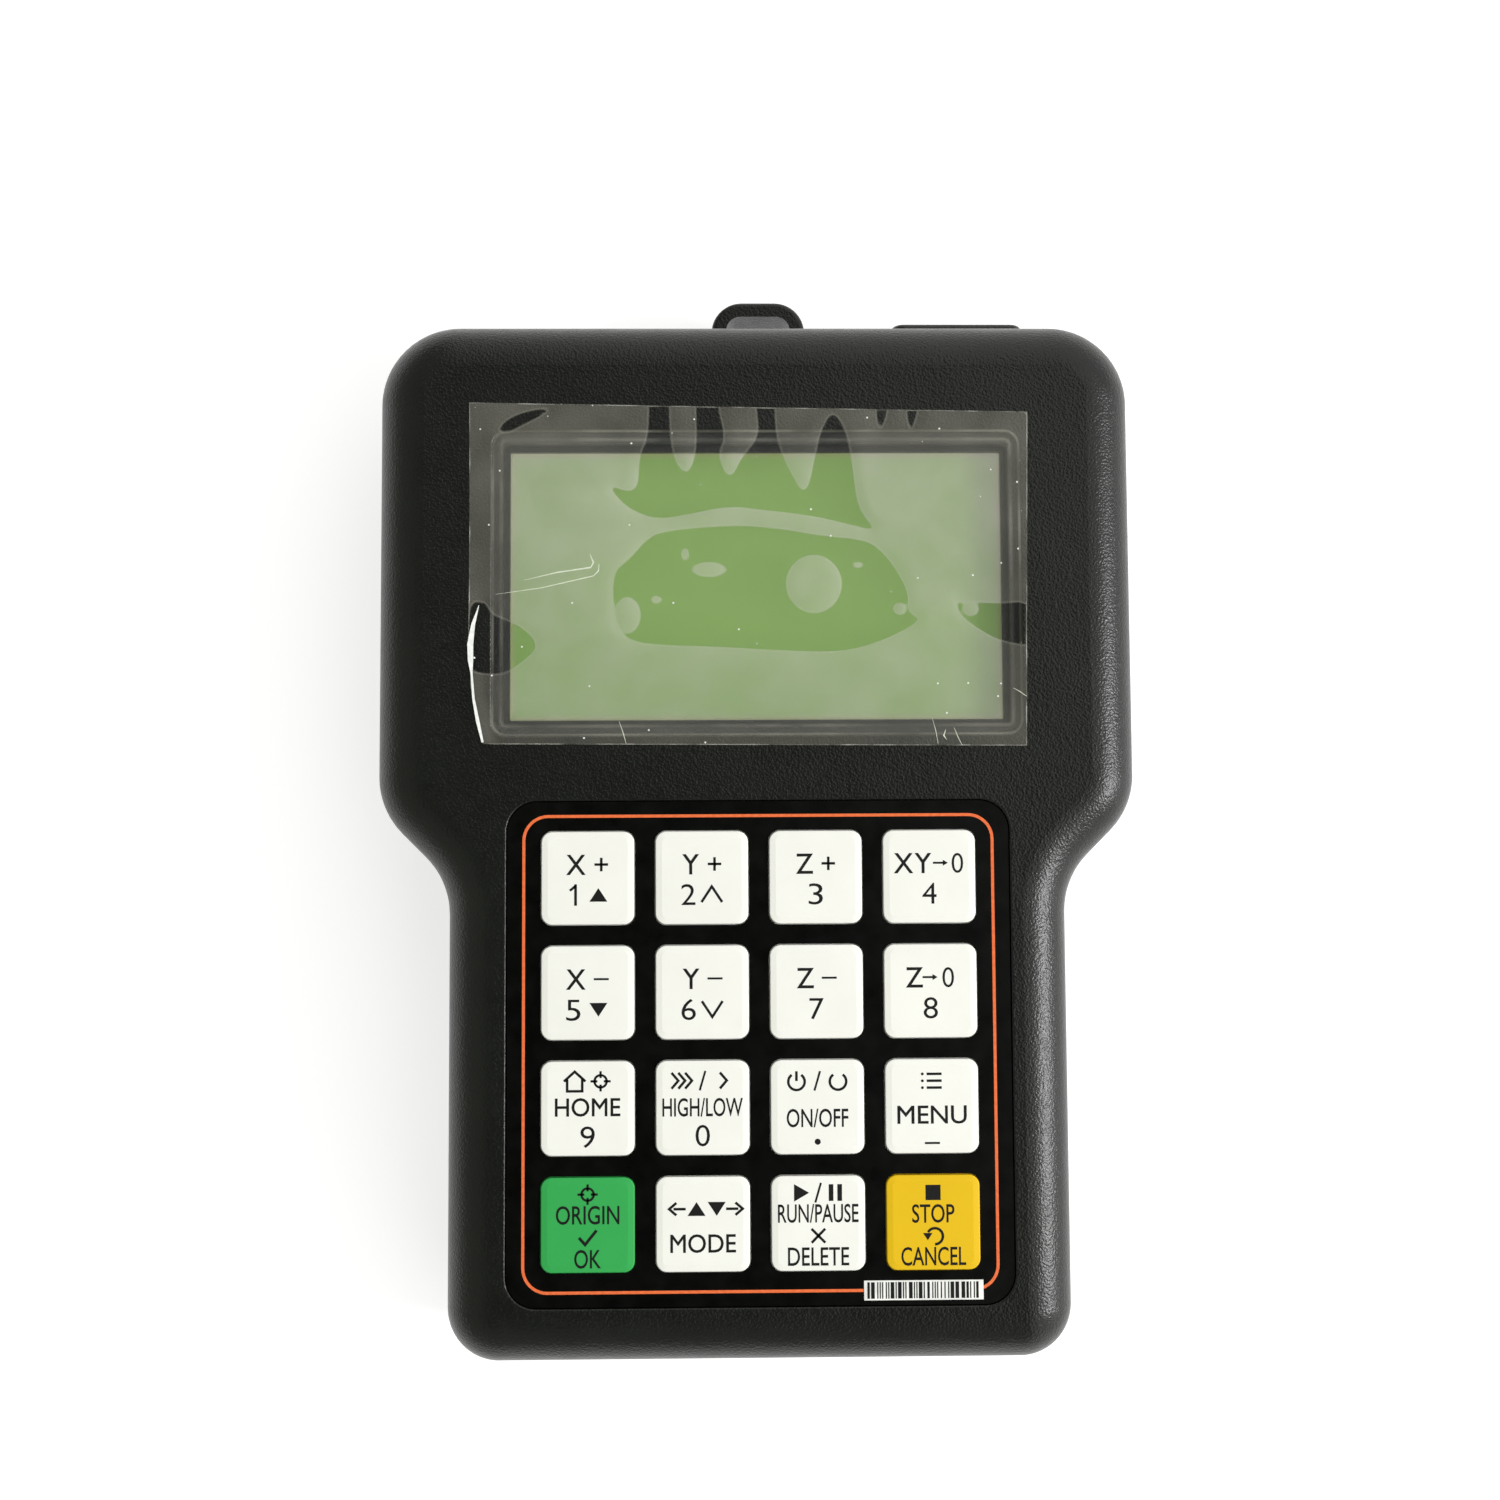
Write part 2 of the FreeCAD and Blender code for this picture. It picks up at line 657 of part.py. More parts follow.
def hang_loop(body):
    """A rounded flat ring on the top wall of the rear shell, for a hook or a lanyard."""
    ring = new_sketch(body, "loop", "loop_height")
    rounded_rectangle(ring, "loop_shift", "half_length", "loop_width", "2 * loop_reach", "loop_corner_radius")
    block = pad(body, ring, "loop_thickness")
    levels = (number("loop_height"), number("loop_height + loop_thickness"))
    rim = [name for level in levels for name in level_edges(body.Shape, level, number("half_length"))]
    rounding(body, block, rim, "loop_edge_radius")
    eye = new_sketch(body, "loop_eye", "loop_height")
    eye_width = "loop_width - 2 * loop_ring"
    eye_height = "loop_reach - loop_ring - loop_root"
    rounded_rectangle(eye, "loop_shift", f"half_length + loop_root + ({eye_height}) / 2", eye_width,
                      eye_height, f"loop_eye_roundness * ({eye_height})")
    pocket(body, eye, "loop_thickness", forward=True)


def rear_shell():
    body = new_body("rear_shell")
    outline = new_sketch(body, "outline", "0")
    case_outline(outline, "0")
    block = pad(body, outline, "parting_height")
    block = rounding(body, block, flat_faces(body.Shape, 2, 0), "rear_edge_radius")
    rounding(body, block, flat_faces(body.Shape, 2, number("parting_height")), "seam_radius")

    collar = new_sketch(body, "collar", "-(half_length + collar_reach)", role="XZ_Plane")
    rounded_rectangle(collar, "usb_shift", "usb_z", "collar_width", "collar_height", "collar_corner_radius")
    rim = pad(body, collar, "collar_reach + side_wall / 2")
    rounding(body, rim, flat_faces(body.Shape, 1, number("half_length + collar_reach")), "collar_edge_radius")
    hang_loop(body)

    rebate = new_sketch(body, "rebate", "parting_height")
    case_outline(rebate, "lip_inset - lip_clearance")
    pocket(body, rebate, "lip_depth + lip_clearance")
    hollow = new_sketch(body, "hollow", "parting_height")
    case_outline(hollow, "side_wall")
    cut = pocket(body, hollow, "parting_height - rear_wall")
    rounding(body, cut, flat_faces(body.Shape, 2, number("rear_wall")), "rear_edge_radius - rear_wall")

    columns = circles_at(body, "case_column", "rear_wall", CASE_SCREW_PLACES, "case_column_diameter")
    pad(body, columns, "screw_joint_height - rear_wall")
    posts = circles_at(body, "board_post", "rear_wall", BOARD_SCREW_PLACES, "board_post_diameter")
    pad(body, posts, "main_board_base - rear_wall")

    heads = circles_at(body, "case_head", "0", CASE_SCREW_PLACES, "case_head_diameter + 2 * head_clearance")
    pocket(body, heads, "case_head_depth", forward=True)
    shanks = circles_at(body, "case_shank", "0", CASE_SCREW_PLACES,
                        "case_shank_diameter + 2 * head_clearance")
    pocket(body, shanks, "screw_joint_height", forward=True)
    pilots = circles_at(body, "board_pilot", "main_board_base", BOARD_SCREW_PLACES,
                        "board_shank_diameter + screw_clearance")
    pocket(body, pilots, "board_screw_bite + screw_clearance")

    def port(name, x, z, width, height, radius, reach):
        drawn = new_sketch(body, name, f"-(half_length + {reach})", role="XZ_Plane")
        rounded_rectangle(drawn, x, z, f"{width} + 2 * part_clearance", f"{height} + 2 * part_clearance",
                          f"{radius} + part_clearance")
        pocket(body, drawn, f"2 * side_wall + {reach}", forward=True)

    port("usb_port", "usb_shift", "usb_z", "usb_width", "usb_height", "usb_corner_radius", "collar_reach")
    port("socket_port", "-socket_shift", "socket_z", "socket_width", "socket_height",
         "socket_corner_radius", "0")


def screw(label, head_diameter, head_height, shank_diameter, shank_length):
    """A cheese-head screw, its seat face at height 0, head below and shank above."""
    body = pattern_body(label)
    head = new_sketch(body, "head", "0")
    circle(head, "0", "0", head_diameter)
    pad(body, head, head_height, backward=True)
    shank = new_sketch(body, "shank", "0")
    circle(shank, "0", "0", shank_diameter)
    pad(body, shank, shank_length)
    return body


def screws():
    case = screw("case_screw", "case_head_diameter", "case_head_height", "case_shank_diameter",
                 "screw_joint_height - case_head_depth + case_screw_bite")
    group("case_screws", case, [(x, y, "case_head_depth") for x, y in CASE_SCREW_PLACES])
    lcd = screw("lcd_screw", "lcd_head_diameter", "lcd_head_height", "lcd_shank_diameter",
                "lcd_board_thickness + lcd_screw_bite")
    group("lcd_screws", lcd, [(x, y, "lcd_board_base") for x, y in LCD_SCREW_PLACES])
    keypad = screw("keypad_screw", "keypad_head_diameter", "keypad_head_height", "keypad_shank_diameter",
                   "keypad_board_thickness + keypad_screw_bite")
    group("keypad_screws", keypad, [(x, y, "keypad_board_base") for x, y in KEYPAD_SCREW_PLACES])


def board_screws():
    body = pattern_body("board_screw")
    head = new_sketch(body, "head", "0")
    circle(head, "0", "0", "board_head_diameter")
    pad(body, head, "board_head_height")
    shank = new_sketch(body, "shank", "0")
    circle(shank, "0", "0", "board_shank_diameter")
    pad(body, shank, "main_board_thickness + board_screw_bite", backward=True)
    group("board_screws", body, [(x, y, "main_board_top") for x, y in BOARD_SCREW_PLACES])


# Display


def display():
    lens_base = "body_depth - lens_inset - lens_thickness"
    plate("display_lens", "0", "display_y", lens_base, "lens_width", "lens_height", "lens_thickness",
          radius="lens_corner_radius")
    adhesive = plate("lens_adhesive", "0", "display_y", f"{lens_base} - adhesive_thickness", "lens_width",
                     "lens_height", "adhesive_thickness", radius="lens_corner_radius")
    opening = new_sketch(adhesive, "opening", lens_base)
    rectangle(opening, "0", "display_y", "window_width", "window_height")
    pocket(adhesive, opening, "adhesive_thickness")
    plate("screen_film", "0", "display_y + film_shift", "body_depth", "film_width", "film_height",
          "film_thickness")

    bezel = new_body("lcd_bezel")
    outside = new_sketch(bezel, "outside", "lcd_board_top")
    rectangle(outside, "0", "display_y", "bezel_width", "bezel_height")
    pad(bezel, outside, "bezel_depth")
    inside = new_sketch(bezel, "inside", "lcd_board_top")
    rectangle(inside, "0", "display_y", "bezel_width - 2 * bezel_sheet", "bezel_height - 2 * bezel_sheet")
    pocket(bezel, inside, "bezel_depth - bezel_sheet", forward=True)
    view = new_sketch(bezel, "view", "lcd_board_top")
    rectangle(view, "0", "display_y", "view_width", "view_height")
    pocket(bezel, view, "bezel_depth", forward=True)

    cell_width = "bezel_width - 2 * bezel_sheet - 2 * part_clearance"
    cell_height = "bezel_height - 2 * bezel_sheet - 2 * part_clearance"
    glass_base = "ceiling_height - bezel_sheet - glass_thickness"
    plate("lcd_glass", "0", "display_y", glass_base, cell_width, cell_height, "glass_thickness")
    plate("lcd_backlight", "0", "display_y", "lcd_board_top", cell_width, cell_height,
          f"{glass_base} - lcd_board_top")
    holes = [(x, y, "lcd_shank_diameter + 2 * head_clearance") for x, y in LCD_SCREW_PLACES]
    plate("lcd_board", "0", "display_y", "lcd_board_base", "lcd_board_width", "lcd_board_height",
          "lcd_board_thickness", holes=holes)


# Keypad


def key(label, x, y):
    """A key cap: retaining flange under the overlay, raised top, and a stem down to its snap dome."""
    body = new_body(label)
    body.setExpression("Placement.Base.x", bound(x))
    body.setExpression("Placement.Base.y", bound(y))
    flange_base = "keypad_floor + key_travel + key_slack"
    flange = new_sketch(body, "flange", flange_base)
    flange_size = "key_size + 2 * key_flange"
    rounded_rectangle(flange, "0", "0", flange_size, flange_size, "key_corner_radius + key_flange")
    pad(body, flange, "key_flange_thickness")
    top = new_sketch(body, "top", flange_base)
    rounded_rectangle(top, "0", "0", "key_size", "key_size", "key_corner_radius")
    cap = pad(body, top, f"overlay_top + key_rise - ({flange_base})")
    bevel = body.newObject("PartDesign::Chamfer", f"{label}_bevel")
    bevel.Base = (cap, flat_faces(body.Shape, 2, number("overlay_top + key_rise")))
    bevel.ChamferType = "Two distances"
    bevel.setExpression("Size", bound("key_bevel_drop"))
    bevel.setExpression("Size2", bound("key_bevel_width"))
    doc.recompute()
    shoulder = number("overlay_top + key_rise - key_bevel_drop")
    rounding(body, bevel, level_edges(body.Shape, shoulder, number(f"{y} - key_size")), "key_edge_radius")
    stem = new_sketch(body, "stem", flange_base)
    circle(stem, "0", "0", "stem_diameter")
    pad(body, stem, f"{flange_base} - keypad_board_top - dome_rise - key_slack", backward=True)


def snap_domes():
    """Thin spherical caps, one under each key, on the keypad board."""
    cap_radius = "((dome_diameter / 2) ^ 2 + dome_rise ^ 2) / (2 * dome_rise)"
    outer = doc.addObject("Part::Sphere", "dome_outside")
    outer.setExpression("Radius", bound(cap_radius))
    inner = doc.addObject("Part::Sphere", "dome_inside")
    inner.setExpression("Radius", bound(f"{cap_radius} - dome_sheet"))
    for ball in (outer, inner):
        ball.setExpression("Placement.Base.z", bound(f"dome_rise - ({cap_radius})"))
    disc = doc.addObject("Part::Cylinder", "dome_disc")
    disc.setExpression("Radius", bound("dome_diameter"))
    disc.setExpression("Height", bound("2 * dome_rise"))
    cap = doc.addObject("Part::Common", "dome_cap")
    cap.Base, cap.Tool = outer, disc
    dome = doc.addObject("Part::Cut", "dome")
    dome.Base, dome.Tool = cap, inner
    doc.recompute()
    group("switch_domes", dome, [(x, y, "keypad_board_top") for x, y in key_places()])


def keypad():
    first_key = key_places()[0]

    def layer(label, base, thickness, hole, hole_radius):
        sheet_body = plate(label, "0", "overlay_y", base, "overlay_width", "overlay_height", thickness,
                           radius="overlay_corner_radius")
        hole_sketch = new_sketch(sheet_body, "key_hole", f"{base} + {thickness}")
        rounded_rectangle(hole_sketch, *first_key, hole, hole, hole_radius)
        key_grid(sheet_body, pocket(sheet_body, hole_sketch, thickness))

    layer("keypad_overlay", "overlay_base", "overlay_thickness", "key_size + 2 * part_clearance",
          "key_corner_radius + part_clearance")
    layer("keypad_spacer", "keypad_floor", "spacer_thickness",
          "key_size + 2 * key_flange + 2 * part_clearance", "key_corner_radius + key_flange + part_clearance")
    for label, place in zip(KEY_NAMES, key_places()):
        key(label, *place)
    holes = [(x, y, "keypad_shank_diameter + 2 * head_clearance") for x, y in KEYPAD_SCREW_PLACES]
    plate("keypad_board", "0", "keypad_y", "keypad_board_base", "keypad_board_size", "keypad_board_size",
          "keypad_board_thickness", holes=holes)
    snap_domes()
    plate("barcode_sticker", "sticker_shift", "keypad_y - sticker_drop", "overlay_top", "sticker_length",
          "sticker_width", "sticker_thickness")


# Boards inside


def main_board():
    holes = [(x, y, "board_shank_diameter + 2 * head_clearance") for x, y in BOARD_SCREW_PLACES]
    plate("main_board", "0", "main_board_y", "main_board_base", "main_board_width", "main_board_height",
          "main_board_thickness", radius="board_corner_radius", holes=holes)
    plate("main_processor", "0", "main_board_y", "main_board_top", "processor_size", "processor_size",
          "processor_height")
    chip = pattern_body("memory_chip")
    chip_outline = new_sketch(chip, "outline")
    rectangle(chip_outline, "0", "0", "memory_length", "memory_width")
    pad(chip, chip_outline, "memory_height")
    group("memory_chips", chip, [("memory_shift", f"main_board_y + {side} * memory_spacing / 2",
                                  "main_board_top") for side in (1, -1)])
    plate("board_crystal", "-crystal_shift", "main_board_y", "main_board_top", "crystal_length",
          "crystal_width", "crystal_height", radius="(crystal_width - crystal_end_flat) / 2")
    can = pattern_body("capacitor")
    can_outline = new_sketch(can, "outline")
    circle(can_outline, "0", "0", "capacitor_diameter")
    pad(can, can_outline, "capacitor_height")
    group("board_capacitors", can, [("capacitor_shift", f"main_board_y + {place} * capacitor_spacing",
                                     "main_board_top") for place in (-1, 0, 1)])


def display_header():
    """Pin strip under the display board and its socket on the main board."""
    strip_base = "lcd_board_base - header_strip_height"
    plate("lcd_header", "-header_shift", "header_y", strip_base, "header_length", "header_width",
          "header_strip_height")
    pin = pattern_body("header_pin")
    pin_outline = new_sketch(pin, "outline")
    rectangle(pin_outline, "0", "0", "header_pin_size", "header_pin_size")
    pad(pin, pin_outline, "header_socket_height - header_pin_tip_gap", backward=True)
    middle = "(header_pins - 1) / 2"
    pins = [(f"({i} - {middle}) * header_pitch - header_shift", "header_y", strip_base)
            for i in range(int(number("header_pins")))]
    group("lcd_header_pins", pin, pins)
    socket = plate("header_socket", "-header_shift", "header_y", "main_board_top", "header_length",
                   "header_width", "header_socket_height")
    slot = new_sketch(socket, "slot", "main_board_top + header_socket_height")
    rectangle(slot, "-header_shift", "header_y", "header_length - header_slot_width", "header_slot_width")
    pocket(socket, slot, "header_socket_height - header_slot_floor")


def ribbon():
    """The flat cable from the keypad board down to the main board, and a connector at each end."""
    connector_base = "keypad_board_base - keypad_connector_height"
    plate("keypad_connector", "ribbon_shift", "ribbon_y", connector_base, "connector_width",
          "keypad_connector_depth", "keypad_connector_height")
    mouth_z = "main_board_top + ribbon_connector_height / 2"
    plate("ribbon_connector", "ribbon_shift", "ribbon_connector_y + ribbon_connector_depth / 2",
          "main_board_top", "connector_width", "ribbon_connector_depth", "ribbon_connector_height")

    body = new_body("keypad_ribbon")
    path = new_sketch(body, "path", "ribbon_shift", role="YZ_Plane")
    start = FreeCAD.Vector(number("ribbon_y"), number(connector_base), 0)
    bend = number("ribbon_bend_radius")
    end = FreeCAD.Vector(number("ribbon_connector_y"), number(mouth_z), 0)
    centre = FreeCAD.Vector(start.x + bend, end.y + bend, 0)
    ring = Part.Circle(centre, FreeCAD.Vector(0, 0, 1), bend)
    drop, turn, run = path.addGeometry([
        Part.LineSegment(start, FreeCAD.Vector(start.x, centre.y, 0)),
        Part.ArcOfCircle(ring, pi, 3 * pi / 2),
        Part.LineSegment(FreeCAD.Vector(centre.x, end.y, 0), end),
    ])
    ties = [
        Sketcher.Constraint("Vertical", drop),
        Sketcher.Constraint("Horizontal", run),
        Sketcher.Constraint("Tangent", drop, 2, turn, 1),
        Sketcher.Constraint("Tangent", turn, 2, run, 1),
    ]
    ends = point_at("ribbon_y", connector_base, drop, 1) + point_at("ribbon_connector_y", mouth_z, run, 2)
    constrain(path, ties, ends + [("ribbon_bend_radius", "Radius", (turn,))])
    section = new_sketch(body, "section", connector_base)
    rectangle(section, "ribbon_shift", "ribbon_y", "ribbon_width", "ribbon_thickness")
    sweep = body.newObject("PartDesign::AdditivePipe", "ribbon_sweep")
    sweep.Profile = section
    sweep.Spine = (path, ["Edge1", "Edge2", "Edge3"])
    doc.recompute()


# Sockets on the top wall


def tube_socket(label, x, z, mouth, width, height, depth, sheet_thickness, radius):
    """A pressed metal shell, open at its mouth and closed at the back."""
    body = new_body(label)
    outside = new_sketch(body, "outside", f"-({mouth})", role="XZ_Plane")
    rounded_rectangle(outside, x, z, width, height, radius)
    pad(body, outside, depth)
    inside = new_sketch(body, "inside", f"-({mouth})", role="XZ_Plane")
    rounded_rectangle(inside, x, z, f"{width} - 2 * {sheet_thickness}", f"{height} - 2 * {sheet_thickness}",
                      f"{radius} - {sheet_thickness}")
    pocket(body, inside, f"{depth} - {sheet_thickness}", forward=True)


def socket_insert(label, x, z, back, block, block_radius, tongue):
    """An insulator: a block at the back of the shell and a tongue towards the mouth."""
    body = new_body(label)
    base = new_sketch(body, "block", f"-({back})", role="XZ_Plane")
    rounded_rectangle(base, x, z, block[0], block[1], block_radius)
    pad(body, base, block[2], backward=True)
    blade = new_sketch(body, "tongue", f"-({back})", role="XZ_Plane")
    rectangle(blade, x, f"{z} + {tongue[3]}", tongue[0], tongue[1])
    pad(body, blade, f"{block[2]} + {tongue[2]}", backward=True)


def contact(label, width, length, thickness):
    """A contact strip along +Y, lying on height 0."""
    body = pattern_body(label)
    outline = new_sketch(body, "outline")
    rectangle(outline, "0", f"{length} / 2", width, length)
    pad(body, outline, thickness)
    return body


def usb_socket():
    mouth = "half_length + collar_reach"
    back = f"{mouth} - usb_depth + usb_sheet"
    tube_socket("usb_shell", "usb_shift", "usb_z", mouth, "usb_width", "usb_height", "usb_depth", "usb_sheet",
                "usb_corner_radius")
    block = ("usb_width - 2 * usb_sheet - 2 * part_clearance",
             "usb_height - 2 * usb_sheet - 2 * part_clearance", "usb_back_depth")
    tongue = ("usb_tongue_width", "usb_tongue_thickness", "usb_tongue_reach", "usb_tongue_offset")
    socket_insert("usb_tongue", "usb_shift", "usb_z", back, block,
                  "usb_corner_radius - usb_sheet - part_clearance", tongue)
    strip = contact("usb_contact", "usb_contact_width", "usb_contact_length", "usb_contact_thickness")
    under = "usb_z + usb_tongue_offset - usb_tongue_thickness / 2 - usb_contact_thickness"
    middle = "(usb_contact_count - 1) / 2"
    places = [(f"usb_shift + ({i} - {middle}) * usb_contact_pitch", f"{back} + usb_back_depth", under)
              for i in range(int(number("usb_contact_count")))]
    group("usb_contacts", strip, places)


def machine_socket():
    mouth = "half_length + socket_reach"
    back = f"{mouth} - socket_depth + socket_sheet"
    tube_socket("socket_shell", "-socket_shift", "socket_z", mouth, "socket_width", "socket_height",
                "socket_depth", "socket_sheet", "socket_corner_radius")
    block = ("socket_width - 2 * socket_sheet - 2 * part_clearance",
             "socket_height - 2 * socket_sheet - 2 * part_clearance", "socket_back_depth")
    tongue = ("socket_tongue_width", "socket_tongue_thickness", "socket_tongue_reach", "0")
    socket_insert("socket_insert", "-socket_shift", "socket_z", back, block,
                  "socket_corner_radius - socket_sheet - part_clearance", tongue)
    strip = contact("socket_contact", "socket_contact_width", "socket_contact_length",
                    "socket_contact_thickness")
    rows = ("socket_z + socket_tongue_thickness / 2",
            "socket_z - socket_tongue_thickness / 2 - socket_contact_thickness")
    middle = "(socket_contact_count - 1) / 2"
    places = [(f"({i} - {middle}) * socket_contact_pitch - socket_shift", f"{back} + socket_back_depth", row)
              for row in rows for i in range(int(number("socket_contact_count")))]
    group("socket_contacts", strip, places)


def write_parts():
    """Checks every object, then writes one file per node."""
    doc.recompute()
    for item in doc.Objects:
        if "Invalid" in item.State or "Error" in item.State:
            raise RuntimeError(f"{item.Name} failed: {item.State}")
    for node in nodes:
        if node.Shape.isNull() or not node.Shape.isValid():
            raise RuntimeError(f"{node.Label} has no valid shape")
    os.makedirs("parts", exist_ok=True)
    for node in nodes:
        node.Shape.exportStep(f"parts/{node.Label}.step")


fill_sheet()
front_shell()
rear_shell()
screws()
board_screws()
display()
keypad()
main_board()
display_header()
ribbon()
usb_socket()
machine_socket()
write_parts()
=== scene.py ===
"""Looks of the handheld CNC controller: finishes, key legends, screen film, stage and camera.

The frame is the CAD part's own: it lies on its back, with +Y to the hang loop and +Z out of the display.
"""

import json
import random
from math import cos, hypot, radians, sin

import bmesh
import bpy
import numpy as np
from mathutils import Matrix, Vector


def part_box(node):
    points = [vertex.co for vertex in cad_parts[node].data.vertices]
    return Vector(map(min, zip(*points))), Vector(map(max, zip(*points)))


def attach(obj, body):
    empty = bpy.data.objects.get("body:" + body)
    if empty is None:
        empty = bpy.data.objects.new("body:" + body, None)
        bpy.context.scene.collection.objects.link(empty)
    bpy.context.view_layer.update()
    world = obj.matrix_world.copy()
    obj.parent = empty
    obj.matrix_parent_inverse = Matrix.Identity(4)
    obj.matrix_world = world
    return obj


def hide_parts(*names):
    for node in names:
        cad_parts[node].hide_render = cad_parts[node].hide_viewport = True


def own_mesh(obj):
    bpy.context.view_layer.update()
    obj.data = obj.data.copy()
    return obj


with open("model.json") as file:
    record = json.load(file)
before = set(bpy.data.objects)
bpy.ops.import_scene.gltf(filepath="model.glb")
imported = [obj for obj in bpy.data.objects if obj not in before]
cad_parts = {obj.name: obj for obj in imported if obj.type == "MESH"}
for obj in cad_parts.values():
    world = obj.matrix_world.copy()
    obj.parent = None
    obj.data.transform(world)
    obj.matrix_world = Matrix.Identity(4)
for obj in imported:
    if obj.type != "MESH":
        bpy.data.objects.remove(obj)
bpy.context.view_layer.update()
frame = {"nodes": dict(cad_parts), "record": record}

MM = 0.001
nodes = frame["nodes"]


def middle(node):
    """Centre of a node's top face, in millimetres."""
    low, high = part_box(node)
    return (low.x + high.x) / 2 / MM, (low.y + high.y) / 2 / MM, high.z / MM


def add_object(name, data):
    """A new object in the scene."""
    made = bpy.data.objects.new(name, data)
    bpy.context.scene.collection.objects.link(made)
    return made


def add_node(tree, kind, inputs=None, **settings):
    """A new shader node; an input is a value or another node's output."""
    node = tree.nodes.new(kind)
    for key, value in settings.items():
        setattr(node, key, value)
    for socket, value in (inputs or {}).items():
        if isinstance(value, bpy.types.NodeSocket):
            tree.links.new(value, node.inputs[socket])
        else:
            node.inputs[socket].default_value = value
    return node


# Materials

NOISE_LOW, NOISE_HIGH = 0.3, 0.7  # nearly all of a noise lies between these
TINT_LOW, TINT_HIGH = 0.35, 0.65  # a tint turns over most of it
KEY_WHITE = (0.84, 0.83, 0.79)
KEY_GREEN = (0.030, 0.365, 0.078)
KEY_YELLOW = (0.74, 0.465, 0.002)
FRAME_SIDE = 3.65  # of the display's metal frame, left and right of its view
FRAME_END = 6.1  # above and below it
FILM_RIM_GLINTS = ((0.0, 0.11, 0.28), (1.25, 0.08, 0.4))  # painted highlight lines along the window's rim, where the film bends over it: place inside the rim, strength, half width


class Finish:
    """A material round one Principled shader. Textures are placed in the part's own frame, in metres."""

    def __init__(self, name, colour, roughness, **values):
        self.material = bpy.data.materials.new(name)
        self.material.use_nodes = True
        self.tree = self.material.node_tree
        self.shader = self.tree.nodes["Principled BSDF"]
        self.shader.inputs["Base Color"].default_value = (*colour, 1)
        self.shader.inputs["Roughness"].default_value = roughness
        for socket, value in values.items():
            self.shader.inputs[socket.replace("_", " ")].default_value = value
        self.place = self.add("ShaderNodeTexCoord").outputs["Object"]

    def add(self, kind, inputs=None, **settings):
        return add_node(self.tree, kind, inputs, **settings)

    def link(self, output, socket):
        self.tree.links.new(output, self.shader.inputs[socket])

    def noise(self, size_mm, detail=3.0, stretch=(1, 1, 1)):
        """Cloudy noise with features of about the given size."""
        place = self.add("ShaderNodeMapping", {"Vector": self.place, "Scale": stretch}).outputs["Vector"]
        inputs = {"Vector": place, "Scale": 1 / (size_mm * MM), "Detail": detail}
        return self.add("ShaderNodeTexNoise", inputs).outputs["Fac"]

    def pebbles(self, size_mm):
        """Rounded cells, as on spark-eroded mould faces."""
        inputs = {"Vector": self.place, "Scale": 1 / (size_mm * MM), "Smoothness": 0.6}
        return self.add("ShaderNodeTexVoronoi", inputs, feature="SMOOTH_F1").outputs["Distance"]

    def between(self, fac, dark, light, low=TINT_LOW, high=TINT_HIGH):
        """A colour that goes from dark to light as fac goes from low to high."""
        ramp = self.add("ShaderNodeValToRGB", {"Fac": fac})
        ends = ramp.color_ramp.elements
        ends[0].position, ends[1].position = low, high
        ends[0].color, ends[1].color = (*dark, 1), (*light, 1)
        return ramp.outputs["Color"]

    def span(self, fac, low, high, start=0.0, end=1.0):
        """A number that goes from low to high as fac goes from start to end."""
        inputs = {"Value": fac, "From Min": start, "From Max": end, "To Min": low, "To Max": high}
        return self.add("ShaderNodeMapRange", inputs).outputs["Result"]

    def blend(self, fac, first, second):
        """One colour turned into another as fac goes from 0 to 1."""
        return self.add("ShaderNodeMix", {0: fac, 6: first, 7: second}, data_type="RGBA").outputs[2]

    def maths(self, operation, a, b=0.0):
        node = self.add("ShaderNodeMath", {0: a, 1: b}, operation=operation)
        return node.outputs["Value"]

    def apart(self, a, b):
        """How far two numbers are apart."""
        return self.maths("ABSOLUTE", self.maths("SUBTRACT", a, b))

    def tint(self, fac, dark, light, low=TINT_LOW, high=TINT_HIGH):
        self.link(self.between(fac, dark, light, low, high), "Base Color")

    def roughen(self, fac, low, high):
        self.link(self.span(fac, low, high, NOISE_LOW, NOISE_HIGH), "Roughness")

    def bump(self, height, depth_mm, strength=1.0):
        inputs = {"Height": height, "Distance": depth_mm * MM, "Strength": strength}
        self.link(self.add("ShaderNodeBump", inputs).outputs["Normal"], "Normal")


def scaled(colour, share):
    return tuple(channel * share for channel in colour)


def casing_plastic():
    """Black moulded plastic with the fine pebble grain of an etched mould."""
    finish = Finish("casing_plastic", (0.004, 0.004, 0.004), 0.4, Specular_IOR_Level=0.36)
    grain = finish.maths("ADD", finish.pebbles(0.36), finish.noise(0.26, detail=2))
    finish.tint(finish.noise(9), (0.0024, 0.0030, 0.0020), (0.0038, 0.0046, 0.0032))
    finish.roughen(finish.noise(2.5), 0.29, 0.34)
    finish.bump(grain, 0.066, 0.75)
    return finish.material


def printed_sheet():
    """Black printed polyester, satin and nearly flat."""
    finish = Finish("printed_sheet", (0.002, 0.002, 0.002), 0.3, Specular_IOR_Level=0.15)
    finish.tint(finish.noise(6), (0.0009, 0.0011, 0.0008), (0.0016, 0.0018, 0.0014))
    finish.roughen(finish.noise(3), 0.26, 0.36)
    finish.bump(finish.noise(0.2), 0.004, 0.4)
    return finish.material


def satin_key(name, colour):
    """A satin key cap with a trace of moulding texture."""
    finish = Finish(name, colour, 0.5, Specular_IOR_Level=0.3)
    finish.tint(finish.noise(7), scaled(colour, 0.97), colour)
    finish.roughen(finish.noise(1.5), 0.48, 0.58)
    finish.bump(finish.noise(0.18), 0.006, 0.5)
    return finish.material


